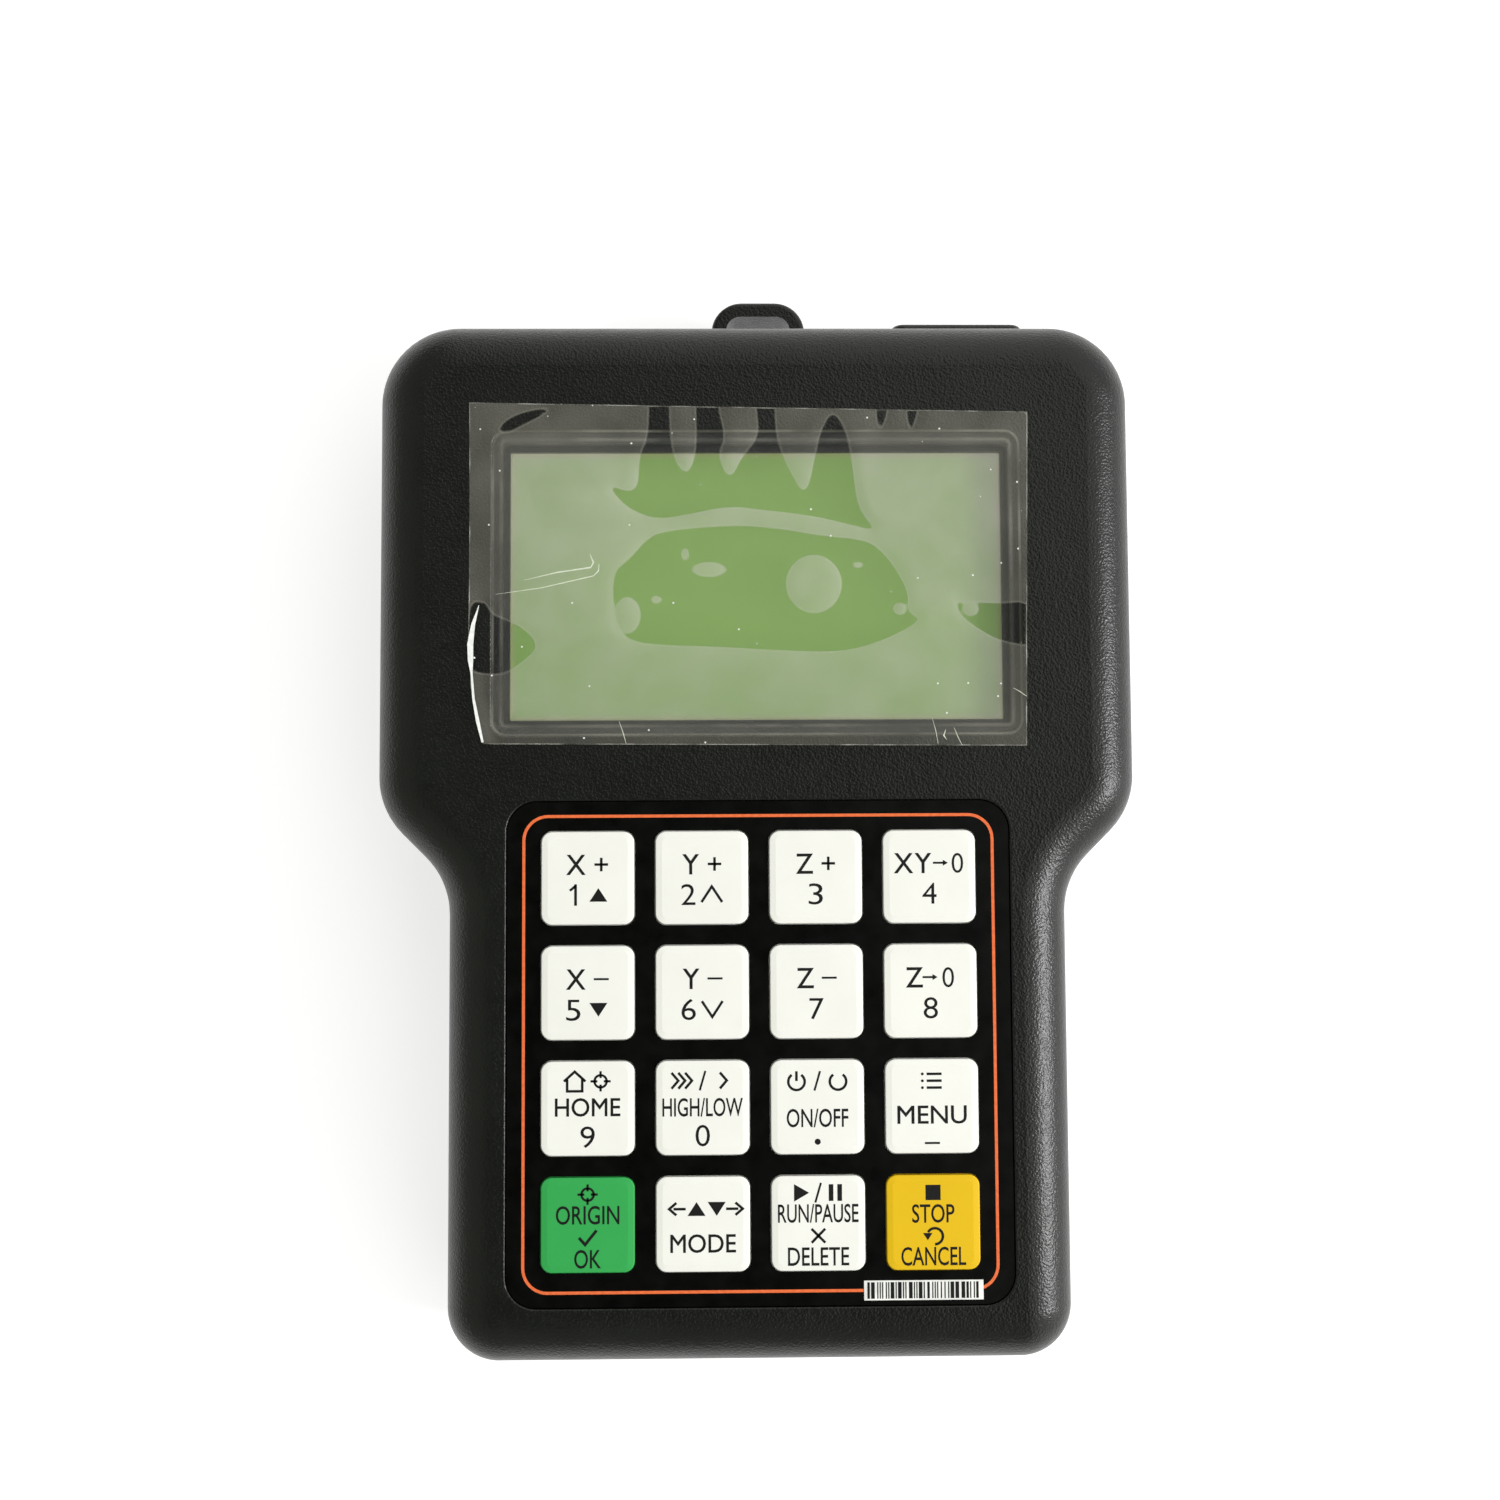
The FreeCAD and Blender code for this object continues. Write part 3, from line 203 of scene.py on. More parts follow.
def plain_plastic(name, colour, roughness=0.45, grain_mm=0.3):
    finish = Finish(name, colour, roughness)
    finish.tint(finish.noise(4), scaled(colour, 0.85), scaled(colour, 1.08))
    finish.roughen(finish.noise(2), roughness - 0.06, roughness + 0.08)
    finish.bump(finish.noise(grain_mm), 0.01, 0.4)
    return finish.material


def metal(name, colour, roughness, streak=(1, 1, 1)):
    """Plated sheet metal with faint drawing marks along one direction."""
    finish = Finish(name, colour, roughness, Metallic=1.0)
    finish.tint(finish.noise(3), scaled(colour, 0.85), colour)
    finish.roughen(finish.noise(0.4, stretch=streak), roughness - 0.08, roughness + 0.1)
    finish.bump(finish.noise(0.15, stretch=streak), 0.004, 0.4)
    return finish.material


def circuit_board():
    """Green solder mask over a hint of copper tracks."""
    finish = Finish("circuit_board", (0.01, 0.12, 0.05), 0.35)
    pattern = {"Vector": finish.place, "Scale": 160.0, "Mortar Size": 0.03}
    tracks = finish.add("ShaderNodeTexBrick", pattern)
    finish.tint(tracks.outputs["Fac"], (0.010, 0.110, 0.045), (0.025, 0.190, 0.085), 0.2, 0.8)
    finish.roughen(finish.noise(1), 0.3, 0.4)
    finish.bump(tracks.outputs["Fac"], 0.02, 0.4)
    return finish.material


def display_cell():
    """The idle liquid crystal cell: yellow-green, with faint bands and a pale line where the frame ends. It
    also glows faintly in its own colour: painted light that lightens the shade cast on it by the window's
    walls.
    """
    green, pale_line = (0.2, 0.35, 0.12), (0.22, 0.23, 0.11, 1)
    finish = Finish("display_cell", green, 0.4, Specular_IOR_Level=0.2, Emission_Strength=0.3)
    cloud = finish.noise(45, detail=1, stretch=(0.35, 1, 1))
    glow = finish.between(cloud, (0.135, 0.241, 0.057), (0.156, 0.256, 0.072))
    x, y, _ = middle("lcd_glass")
    low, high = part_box("lcd_bezel")
    place = finish.add("ShaderNodeSeparateXYZ", {"Vector": finish.place}).outputs
    half_width = (high.x - low.x) / 2 - FRAME_SIDE * MM
    half_height = (high.y - low.y) / 2 - FRAME_END * MM
    past_side = finish.maths("SUBTRACT", finish.apart(place["X"], x * MM), half_width)
    past_end = finish.maths("SUBTRACT", finish.apart(place["Y"], y * MM), half_height)
    rim = finish.maths("MAXIMUM", past_side, past_end)
    colour = finish.blend(finish.span(rim, 0, 0.7, -1.0 * MM, -0.1 * MM), glow, pale_line)
    finish.link(colour, "Base Color")
    # Painted light: the cell glows in its own colour, so the shade of the window's walls falls softer on
    # it.
    finish.link(colour, "Emission Color")
    finish.roughen(finish.noise(0.5), 0.35, 0.45)
    return finish.material


def clear_window():
    """Clear acrylic: light passes, under a weak grey veil painted in for the reflection from its two faces.
    """
    finish = Finish("clear_window", (0.6, 0.62, 0.6), 0.06, Alpha=0.018)
    finish.roughen(finish.noise(6), 0.04, 0.1)
    finish.material.surface_render_method = "BLENDED"
    return finish.material


def ink(name, colour):
    """Screen-printed ink."""
    finish = Finish(name, colour, 0.55, Specular_IOR_Level=0.2)
    finish.tint(finish.noise(0.6), scaled(colour, 0.9), scaled(colour, 1.1))
    finish.bump(finish.noise(0.12), 0.003, 0.4)
    return finish.material


def film_plastic():
    """Thin clear film: a grey veil, painted in for the reflection of the air gap, where air is under it;
    hardly seen where it clings to the window.

    The mesh carries distances in millimetres: inside the clinging patches, inside the film's outline,
    inside the display's view, where the painted reflection is stronger over the pale display, and inside
    the window's rim, along which painted highlight lines run.
    """
    finish = Finish("film_plastic", (0.8, 0.8, 0.75), 0.3, Specular_IOR_Level=0.5)
    inside, edge, view, rim = (finish.add("ShaderNodeAttribute", attribute_name=name).outputs["Fac"]
                               for name in ("cling_mm", "edge_mm", "view_mm", "rim_mm"))
    over_view = finish.span(view, 0, 1, -0.2, 0.2)
    cling = finish.span(inside, 0, 1, -0.12, 0.12)
    place_y = finish.add("ShaderNodeSeparateXYZ", {"Vector": finish.place}).outputs["Y"]
    low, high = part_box("screen_film")
    # Painted reflection: the veil grows stronger towards the top of the film.
    reflection_towards_top = finish.span(place_y, 0.82, 1.18, low.y, high.y)
    clouds = finish.span(finish.noise(7, detail=6), 0.78, 1.22, NOISE_LOW, NOISE_HIGH)
    mottle = finish.maths("MULTIPLY", clouds, reflection_towards_top)
    # Painted shade: the veil is darker just outside the display's view, by its frame; the painted
    # reflection is stronger over the view.
    frame_shade = finish.span(view, 1.0, 0.6, -1.4, -0.9)
    shaded = finish.maths("MULTIPLY", frame_shade, finish.span(over_view, 1.0, 1.7))
    # Painted reflection: the grey veil where air is under the film, almost gone where it clings.
    veil = finish.maths("MULTIPLY", finish.span(over_view, 0.074, 0.158), mottle)
    lifted = finish.span(cling, 1.0, 0.03)
    air = finish.maths("MULTIPLY", finish.maths("MULTIPLY", veil, shaded), lifted)
    # Painted highlights: light lines along the window's rim, broken up by noise.
    rim_glints = [finish.span(finish.apart(rim, place), strength, 0, 0.06, width)
             for place, strength, width in FILM_RIM_GLINTS]
    broken = finish.span(finish.noise(9), 0.3, 1, 0.4, 0.6)
    rim_glint = finish.maths("MULTIPLY", finish.maths("ADD", *rim_glints), broken)
    # Painted highlight: a faint light line round the edge of each clinging patch.
    outline = finish.span(finish.maths("ABSOLUTE", inside), 0.07, 0, 0.04, 0.22)
    # Painted highlight: a light line along the film's cut edge, patchy along its length.
    patchy = finish.span(finish.noise(4, detail=4), 0.04, 0.4, 0.4, 0.7)
    hem = finish.maths("MULTIPLY", finish.span(edge, 1, 0, 0.08, 0.2), patchy)
    dusty = finish.span(edge, 0.5, 0.72, 1.0, 6.0)
    cells = finish.add("ShaderNodeTexVoronoi", {"Vector": finish.place, "Scale": 520.0})
    chosen = finish.maths("GREATER_THAN", cells.outputs["Color"], dusty)
    speck = finish.maths("MULTIPLY", chosen, finish.span(cells.outputs["Distance"], 0.8, 0, 0.04, 0.1))
    # The painted edge highlight together with the dust specks.
    white = finish.maths("MAXIMUM", hem, speck)
    lines = finish.maths("ADD", rim_glint, outline)
    finish.link(finish.maths("MAXIMUM", finish.maths("ADD", air, lines), white), "Alpha")
    # Colour of the painted reflection: warmer over the black, pinker over the display. The painted edge
    # highlight and the dust turn it whiter.
    tone = finish.blend(over_view, (0.90, 0.87, 0.74, 1), (0.90, 0.76, 0.86, 1))
    whiter = finish.span(white, 0, 1, 0.05, 0.4)
    finish.link(finish.blend(whiter, tone, (1.0, 1.0, 0.97, 1)), "Base Color")
    finish.bump(finish.noise(3), 0.05, 0.5)
    finish.material.surface_render_method = "BLENDED"
    return finish.material


SLOT_FINISHES = {
    "casing": casing_plastic(),
    "black_steel": metal("black_steel", (0.05, 0.05, 0.055), 0.4),
    "lens_clear": clear_window(),
    "adhesive": plain_plastic("foam_adhesive", (0.012, 0.012, 0.012), 0.8, 0.15),
    "bezel_metal": plain_plastic("bezel_paint", (0.008, 0.008, 0.008), 0.4),
    "lcd_cell": display_cell(),
    "backlight": plain_plastic("diffuser", (0.6, 0.72, 0.3)),
    "board_green": circuit_board(),
    "steel": metal("plated_steel", (0.62, 0.62, 0.6), 0.3, (1, 0.1, 1)),
    "gilt": metal("gilt", (0.85, 0.62, 0.28), 0.25, (1, 0.1, 1)),
    "black_plastic": plain_plastic("black_moulding", (0.012, 0.012, 0.013)),
    "aluminium": metal("aluminium_can", (0.78, 0.78, 0.79), 0.28, (1, 1, 0.1)),
    "white_plastic": plain_plastic("ivory_moulding", (0.8, 0.77, 0.68)),
    "overlay_black": printed_sheet(),
    "key_white": satin_key("key_white", KEY_WHITE),
    "key_green": satin_key("key_green", KEY_GREEN),
    "key_yellow": satin_key("key_yellow", KEY_YELLOW),
    "ribbon_white": plain_plastic("flat_cable", (0.78, 0.78, 0.75)),
    "sticker_paper": plain_plastic("label_paper", (0.82, 0.82, 0.8), 0.6, 0.1),
    "film_clear": film_plastic(),
}
BLACK_INK = ink("black_ink", (0.006, 0.006, 0.006))
ORANGE_INK = ink("orange_ink", (0.76, 0.15, 0.045))
CREASE_WHITE = ink("crease_white", (0.66, 0.70, 0.58))
# Painted highlight on the curled left hem of the film.
HEM_GLINT_WHITE = ink("hem_glint_white", (0.84, 0.85, 0.83))


def dress_nodes():
    """Gives each CAD node the finish of its slot."""
    for subpart in frame["record"]["subparts"]:
        mesh = nodes[subpart["node"]].data
        mesh.materials.clear()
        mesh.materials.append(SLOT_FINISHES[subpart["material_slot"]])


# Flat prints, drawn in millimetres

STEM = 0.38  # of a figure drawn in strokes
LETTER_THICKENING = 0.008  # of strokes in the font, at size 1
FIGURE_THICKENING = -0.004
LETTER_SQUEEZE = 0.92


class Print:
    """Flat faces drawn on a plane, gathered into one mesh."""

    def __init__(self):
        self.points, self.faces = [], []

    def polygon(self, points):
        first = len(self.points)
        self.points += points
        self.faces.append(list(range(first, first + len(points))))

    def stroke(self, points, width, closed=False):
        """A line of even width through the points, mitred at the corners."""
        count = len(points)
        sides = []
        for i, (x, y) in enumerate(points):
            before = points[i - 1] if closed or i else None
            after = points[(i + 1) % count] if closed or i < count - 1 else None
            ways = [unit(before, (x, y))] if before else []
            ways += [unit((x, y), after)] if after else []
            right, up = sum(way[1] for way in ways), -sum(way[0] for way in ways)
            reach = width / 2 * len(ways) / (right ** 2 + up ** 2)
            sides.append([(x + side * right * reach, y + side * up * reach) for side in (1, -1)])
        for i in range(count if closed else count - 1):
            (a, b), (c, d) = sides[i], sides[(i + 1) % count]
            self.polygon([a, c, d, b])

    def ribbon(self, points, widths):
        """A line through the points, of a width given at each."""
        sides = []
        for i, (x, y) in enumerate(points):
            way = unit(points[max(i - 1, 0)], points[min(i + 1, len(points) - 1)])
            right, up = way[1] * widths[i] / 2, -way[0] * widths[i] / 2
            sides.append(((x + right, y + up), (x - right, y - up)))
        for (a, b), (c, d) in zip(sides, sides[1:]):
            self.polygon([a, c, d, b])

    def disc(self, x, y, radius):
        self.polygon(circle(x, y, radius))

    def text(self, words, x, y, height, width=None):
        """Capitals or figures about a centre, of a cap height, and of a width where one is given."""
        if words == "1":
            self.figure_one(x, y, height)
            return
        outline, faces = glyphs(words, FIGURE_THICKENING if words.isdigit() else LETTER_THICKENING)
        low, high = outline.min(0), outline.max(0)
        rise = height / CAP_HEIGHT
        run = width / (high[0] - low[0]) if width else rise * LETTER_SQUEEZE
        shift = np.array([x - (low[0] + high[0]) / 2 * run, y - height / 2])
        first = len(self.points)
        self.points += [tuple(point) for point in outline * (run, rise) + shift]
        self.faces += [[first + i for i in face] for face in faces]

    def figure_one(self, x, y, height):
        """A one of two strokes, without a foot."""
        stem, tip = x + 0.3, x - 0.5
        self.stroke([(stem, y - height / 2), (stem, y + height / 2)], STEM)
        self.stroke([(stem, y + height * 0.42), (tip, y + height * 0.2)], STEM * 0.9)

    def piece(self, name, origin, finish, body):
        """The print as an object that rides on a body, its zero at origin (x, y, z)."""
        x, y, z = origin
        mesh = bpy.data.meshes.new(name)
        mesh.from_pydata([((x + a) * MM, (y + b) * MM, z * MM) for a, b in self.points], [], self.faces)
        for face in mesh.polygons:
            if face.normal.z < 0:
                face.flip()
        mesh.materials.append(finish)
        made = add_object(name, mesh)
        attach(made, body)
        return made


def unit(start, end):
    x, y = end[0] - start[0], end[1] - start[1]
    return x / hypot(x, y), y / hypot(x, y)


def arc(x, y, radius, start, end, steps):
    """Points along an arc, its angles in degrees."""
    angles = [radians(start + (end - start) * i / steps) for i in range(steps + 1)]
    return [(x + radius * cos(angle), y + radius * sin(angle)) for angle in angles]


def circle(x, y, radius):
    """Points round a circle, which a closed line or a face joins up."""
    return arc(x, y, radius, 0, 345, 24)


def rounded_box(x, y, width, height, radius, steps=10):
    """Points of a rounded rectangle, anticlockwise."""
    right, up = width / 2 - radius, height / 2 - radius
    corners = ((right, up, 0), (-right, up, 90), (-right, -up, 180), (right, -up, 270))
    arcs = [arc(x + a, y + b, radius, start, start + 90, steps) for a, b, start in corners]
    return [point for points in arcs for point in points]


def glyphs(words, bolder):
    """Points and faces of some words in Blender's own font, at size 1, with their strokes made bolder."""
    curve = bpy.data.curves.new("words", "FONT")
    curve.body = words
    curve.resolution_u = 4
    holder = bpy.data.objects.new("words", curve)
    mesh = bpy.data.meshes.new_from_object(holder)
    outline = np.array([vertex.co[:2] for vertex in mesh.vertices])
    faces = [list(face.vertices) for face in mesh.polygons]
    bpy.data.objects.remove(holder)
    bpy.data.meshes.remove(mesh)
    return outline + bolder * moves_out(outline, faces), faces


def moves_out(outline, faces):
    """The move of each point that carries every outer edge of the faces out by one."""
    sides = {}
    for face in faces:
        for edge in zip(face, face[1:] + face[:1]):
            sides.setdefault(frozenset(edge), []).append(face)
    move = np.zeros_like(outline)
    for edge, owners in sides.items():
        if len(owners) == 1:
            a, b = edge
            along = outline[b] - outline[a]
            out = np.array([along[1], -along[0]]) / max(np.hypot(*along), 1e-9)
            if out @ (outline[owners[0]].mean(0) - outline[a]) > 0:
                out = -out
            move[a] += out
            move[b] += out
    length = np.maximum((move ** 2).sum(1), 1.0)
    return 2 * move / length[:, None]


CAP_HEIGHT = np.ptp(glyphs("H", LETTER_THICKENING)[0][:, 1])

# Key legends

PRINT_LIFT = 0.012
LINE = 0.36
THIN_LINE = LINE * 0.8
FIRST_ROW = 1.9
SECOND_ROW = -2.35
CAPITAL = 2.85
FIGURE = 3.0
FIGURE_WIDTH = 2.0
WORD = 2.5


def plus(drawing, x, y):
    half = 0.95
    drawing.stroke([(x - half, y), (x + half, y)], LINE)
    drawing.stroke([(x, y - half), (x, y + half)], LINE)


def dash(drawing, x, y):
    half = 1.05
    drawing.stroke([(x - half, y), (x + half, y)], THIN_LINE)


def to_zero(drawing, x, y):
    """A short arrow to the right."""
    head, half = x + 0.4, 0.42
    drawing.stroke([(x - 1.0, y), (x + 0.5, y)], THIN_LINE)
    drawing.polygon([(head, y - half), (x + 1.1, y), (head, y + half)])


def filled_triangle(drawing, x, y, way):
    """A triangle that points up where way is 1, and down where it is -1."""
    half, rise = 1.25, 0.95 * way
    drawing.polygon([(x - half, y - rise), (x + half, y - rise), (x, y + rise)])


def chevron(drawing, x, y, way):
    """An open arrow head, up or down as the triangle."""
    half, rise = 1.45, 1.1 * way
    drawing.stroke([(x - half, y - rise), (x, y + rise), (x + half, y - rise)], LINE)


def house(drawing, x, y):
    left, right, foot, eaves = x - 1.05, x + 1.05, y - 1.35, y + 0.3
    drawing.stroke([(x - 1.5, y), (x, y + 1.35), (x + 1.5, y)], LINE)
    drawing.stroke([(left, eaves), (left, foot), (right, foot), (right, eaves)], LINE)


def target(drawing, x, y):
    drawing.stroke(circle(x, y, 0.85), LINE * 0.9, closed=True)
    for a, b in ((1, 0), (0, 1), (-1, 0), (0, -1)):
        ends = [(x + reach * a, y + reach * b) for reach in (0.45, 1.4)]
        drawing.stroke(ends, LINE * 0.9)


def slash(drawing, x, y):
    lean, half = 0.4, 1.35
    drawing.stroke([(x - lean, y - half), (x + lean, y + half)], THIN_LINE)


def speed(drawing, x, y, count):
    """Arrow heads to the right, in a row."""
    step, half = 0.95, 1.1
    for i in range(count):
        left = x + step * (i - count / 2)
        drawing.stroke([(left, y + half), (left + step, y), (left, y - half)], LINE)


def power(drawing, x, y, marked):
    """An open ring, with a stroke in its gap where it is marked."""
    drawing.stroke(arc(x, y - 0.1, 1.15, 125, 415, 24), LINE)
    if marked:
        drawing.stroke([(x, y), (x, y + 1.35)], LINE)


def list_lines(drawing, x, y):
    pitch, dot = 0.95, 0.2
    for row in (y - pitch, y, y + pitch):
        drawing.stroke([(x - 0.7, row), (x + 1.4, row)], LINE)
        drawing.disc(x - 1.3, row, dot)


def check_mark(drawing, x, y):
    drawing.stroke([(x - 1.2, y), (x - 0.35, y - 0.95), (x + 1.25, y + 1.0)], LINE * 1.15)


def cross(drawing, x, y):
    half = 0.95
    for rise in (half, -half):
        drawing.stroke([(x - half, y - rise), (x + half, y + rise)], LINE)


def step_arrow(drawing, x, y, way):
    """An arrow to the right where way is 1, and to the left where it is -1."""
    head, half = x + 0.1 * way, 0.85
    drawing.stroke([(x - 1.2 * way, y), (x + 0.5 * way, y)], LINE)
    drawing.stroke([(head, y + half), (x + 1.1 * way, y), (head, y - half)], LINE)


def play(drawing, x, y):
    back, half = x - 0.95, 1.2
    drawing.polygon([(back, y - half), (x + 1.15, y), (back, y + half)])


def pause(drawing, x, y):
    half = 1.15
    for bar in (x - 0.6, x + 0.6):
        drawing.stroke([(bar, y - half), (bar, y + half)], LINE * 1.8)


def block(drawing, x, y):
    left, right, low, high = x - 1.05, x + 1.05, y - 1.05, y + 1.05
    drawing.polygon([(left, low), (right, low), (right, high), (left, high)])


def undo(drawing, x, y):
    """A part of a ring with an arrow head at its left end."""
    head = y + 0.25
    drawing.stroke(arc(x, y - 0.2, 1.1, -90, 150, 20), LINE)
    drawing.polygon([(x - 1.65, head), (x - 0.35, head), (x - 1.0, y - 0.75)])


def axis_key(letter, x, sign, figure, mark=None, way=1):
    """Axis letter and sign over a figure, with an arrow mark beside the figure on some keys."""
    drawing = Print()
    drawing.text(letter, x, FIRST_ROW, CAPITAL)
    sign(drawing, -x + 0.25, FIRST_ROW)
    drawing.text(figure, x - 0.35 if mark else 0, SECOND_ROW, FIGURE, FIGURE_WIDTH)
    if mark:
        mark(drawing, -x - 0.15, SECOND_ROW, way)
    return drawing


def zero_key(letters, arrow_x, figure):
    """Axis letters, an arrow and a zero over a figure."""
    drawing = Print()
    for letter, x in letters:
        drawing.text(letter, x, FIRST_ROW, CAPITAL)
    to_zero(drawing, arrow_x, FIRST_ROW)
    drawing.text(figure, 0, SECOND_ROW, FIGURE, FIGURE_WIDTH)
    return drawing


def word_key(*lines):
    """Words as (text, y, width), or symbols as (function, x, y, more arguments)."""
    drawing = Print()
    for line in lines:
        if callable(line[0]):
            line[0](drawing, *line[1:])
        else:
            text, y, width = line
            drawing.text(text, 0, y, FIGURE if len(text) == 1 else WORD, width)
    return drawing


def key_legends():
    """What each key shows: plain figures, axis letters, common control words and symbols."""
    return {
        "x_plus": axis_key("X", -1.65, plus, "1", filled_triangle),
        "y_plus": axis_key("Y", -1.55, plus, "2", chevron),
        "z_plus": axis_key("Z", -1.55, plus, "3"),
        "xy_zero": zero_key([("X", -3.6), ("Y", -0.85), ("0", 4.0)], 1.55, "4"),
        "x_minus": axis_key("X", -1.65, dash, "5", filled_triangle, -1),
        "y_minus": axis_key("Y", -1.55, dash, "6", chevron, -1),
        "z_minus": axis_key("Z", -1.55, dash, "7"),
        "z_zero": zero_key([("Z", -2.25), ("0", 2.5)], -0.1, "8"),
        "home": word_key((house, -1.8, 3.75), (target, 1.8, 3.75), ("HOME", 0.2, 9.1),
                         ("9", -3.9, FIGURE_WIDTH)),
        "speed": word_key((speed, -2.9, 3.75, 3), (slash, 0, 3.75), (speed, 2.9, 3.75, 1),
                          ("HIGH/LOW", 0.1, 11.2), ("0", -3.8, FIGURE_WIDTH)),
        "spindle": word_key((power, -2.9, 3.6, True), (slash, 0, 3.6), (power, 2.9, 3.6, False),
                            ("ON/OFF", -1.5, 8.6), (Print.disc, 0, -4.8, 0.42)),
        "menu": word_key((list_lines, 0, 3.5), ("MENU", -1.15, 9.7), (dash, 0, -5.1)),
        "origin": word_key((target, 0, 4.2), ("ORIGIN", 1.4, 8.8), (check_mark, 0, -1.7),
                           ("OK", -4.6, 3.7)),
        "mode": word_key((step_arrow, -3.6, 2.1, -1), (filled_triangle, -0.9, 2.1, 1),
                         (filled_triangle, 1.9, 2.1, -1), (step_arrow, 4.4, 2.1, 1), ("MODE", -2.6, 9.1)),
        "run": word_key((play, -2.4, 4.2), (slash, 0, 4.2), (pause, 2.4, 4.2), ("RUN/PAUSE", 1.4, 11.2),
                        (cross, 0, -1.7), ("DELETE", -4.5, 8.5)),
        "stop": word_key((block, 0, 4.1), ("STOP", 1.25, 5.9), (undo, 0.2, -1.7), ("CANCEL", -4.6, 9.0)),
    }


KEY_LEGENDS = key_legends()


def print_keys():
    for name, drawing in KEY_LEGENDS.items():
        x, y, z = middle(f"key_{name}")
        drawing.piece(f"legend_{name}", (x, y, z + PRINT_LIFT), BLACK_INK, f"key_{name}")


# Snap domes under the keys

DOME_REACH = 8.0  # half the pitch of the keys


def snap_domes():
    """A steel dome under each key; on the real keypad it flattens as the key goes down."""
    for name in KEY_LEGENDS:
        x, y, _ = middle(f"key_{name}")
        centre = Vector((x, y)) * MM
        shape = bmesh.new()
        shape.from_mesh(nodes["switch_domes"].data)
        others = [spot for spot in shape.verts if (spot.co.xy - centre).length > DOME_REACH * MM]
        bmesh.ops.delete(shape, geom=others, context="VERTS")
        mesh = bpy.data.meshes.new(f"dome_{name}")
        shape.to_mesh(mesh)
        shape.free()
        mesh.materials.append(SLOT_FINISHES["steel"])
        dome = add_object(f"dome_{name}", mesh)
        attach(dome, "casing")
        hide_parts("switch_domes")
        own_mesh(dome)


# Prints on the keypad sheet

FRAME_LINE = {"size": 66.4, "radius": 3.4, "width": 0.42}
BAR_SEED = 7
BAR_MARGIN = 0.45
BAR_MODULE = 0.17
BAR_WIDTHS = (1, 1, 2, 3)  # in modules
BAR_GAPS = (1, 1, 2)


def print_overlay():
    """The orange line round the keys."""
    x, y, z = middle("keypad_overlay")
    size = FRAME_LINE["size"] - FRAME_LINE["width"]
    drawing = Print()
    drawing.stroke(rounded_box(0, 0, size, size, FRAME_LINE["radius"]), FRAME_LINE["width"], closed=True)
    drawing.piece("keypad_line", (x, y, z + PRINT_LIFT), ORANGE_INK, "casing")


def print_sticker():
    """Plain bars of seeded widths, which code nothing."""
    low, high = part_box("barcode_sticker")
    width, height = (high.x - low.x) / MM - 2 * BAR_MARGIN, (high.y - low.y) / MM - BAR_MARGIN
    pick = random.Random(BAR_SEED)
    drawing = Print()
    left = -width / 2
    while left < width / 2 - max(BAR_WIDTHS) * BAR_MODULE:
        bar = pick.choice(BAR_WIDTHS) * BAR_MODULE
        drawing.stroke([(left + bar / 2, -height / 2), (left + bar / 2, height / 2)], bar)
        left += bar + pick.choice(BAR_GAPS) * BAR_MODULE
    x, y, z = middle("barcode_sticker")
    drawing.piece("sticker_bars", (x, y, z + PRINT_LIFT), BLACK_INK, "casing")


# Screen film. Places on it are millimetres from the middle of the display.

FILM_LEFT = [(-40.9, 25.9), (-40.8, 11.8), (-40.8, -1.1), (-40.8, -8.9), (-40.4, -15.3), (-38.7, -23.0)]
FILM_RIGHT = [(38.9, 24.5), (38.1, -23.5)]
FILM_FLAT = (78.0, 48.0)
VIEW_MIDDLE = (-0.1, -0.6)
VIEW_HALF = (34.8, 19.1)
RIM_RADIUS = 2.0
FILM_GRID = (150, 92)
FILM_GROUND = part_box("screen_film")[0].z / MM
SEAT_X, SEAT_Y, LENS_TOP = middle("display_lens")
FILM_GAP = 0.02  # over what it lies on
FILM_LIFT = 0.13  # more where air is under it
FILM_CURL = 0.8  # of the left hem
LENS_STEP = (-0.8, 0.4)  # past the window's edge, where the film comes up to the shell
SINK_STEP = (-1.0, 0.4)  # inside a clinging patch, where it goes down to the window
LIFT_STEP = (-1.4, 0.2)  # inside a clinging patch, where the air under it ends
CURL_ACROSS = (0.0, 0.025)  # share of the width from the left
CURL_DOWN = (0.5, 0.7)  # share of the height from the top
CLING_CROWN = [
    (-21.5, 14.2), (-18.5, 10.6), (-14.5, 9.0), (-11, 9.4), (-4, 10.9), (0, 10.4), (8.5, 9.4), (13.5, 8.1),
    (17.2, 7.2), (14.8, 10.2), (14.2, 13), (13.7, 17.6), (13.0, 21.7), (11, 25.0), (9.1, 21.7), (8.3, 17.7),
    (7.0, 12.2), (4.7, 16.2), (3, 20.5), (2.7, 25), (2.9, 29), (-0.4, 29), (0, 25), (0.4, 21), (-2, 18.2),
    (-3.8, 14.6), (-5.5, 18.2), (-4.3, 21), (-5.4, 25), (-5.4, 29), (-8.8, 29), (-8.6, 25), (-8.6, 18.3),
    (-10, 15.2), (-12, 18.3), (-12.4, 25.2), (-12.2, 29), (-15.6, 29), (-15.3, 25.2), (-15.6, 20.5),
    (-16.8, 18.3), (-16.9, 12.6),
]
CLING_BLOB = [
    (-20.5, 1.5), (-18, 3.5), (-15.6, 6.3), (-13.4, 7.4), (-3.3, 8.3), (3.5, 7.7), (9, 6.7), (15.3, 6.1),
    (17.5, 4.8), (19.8, 2), (21.7, -1.7), (21.3, -4.3), (23.6, -5.4), (19.7, -7.7), (15.2, -9.4),
    (11.2, -10.1), (3.4, -9.9), (-5.6, -9.3), (-13.4, -9.1), (-18, -8.5), (-20, -6.4), (-20.5, -3.3),
]
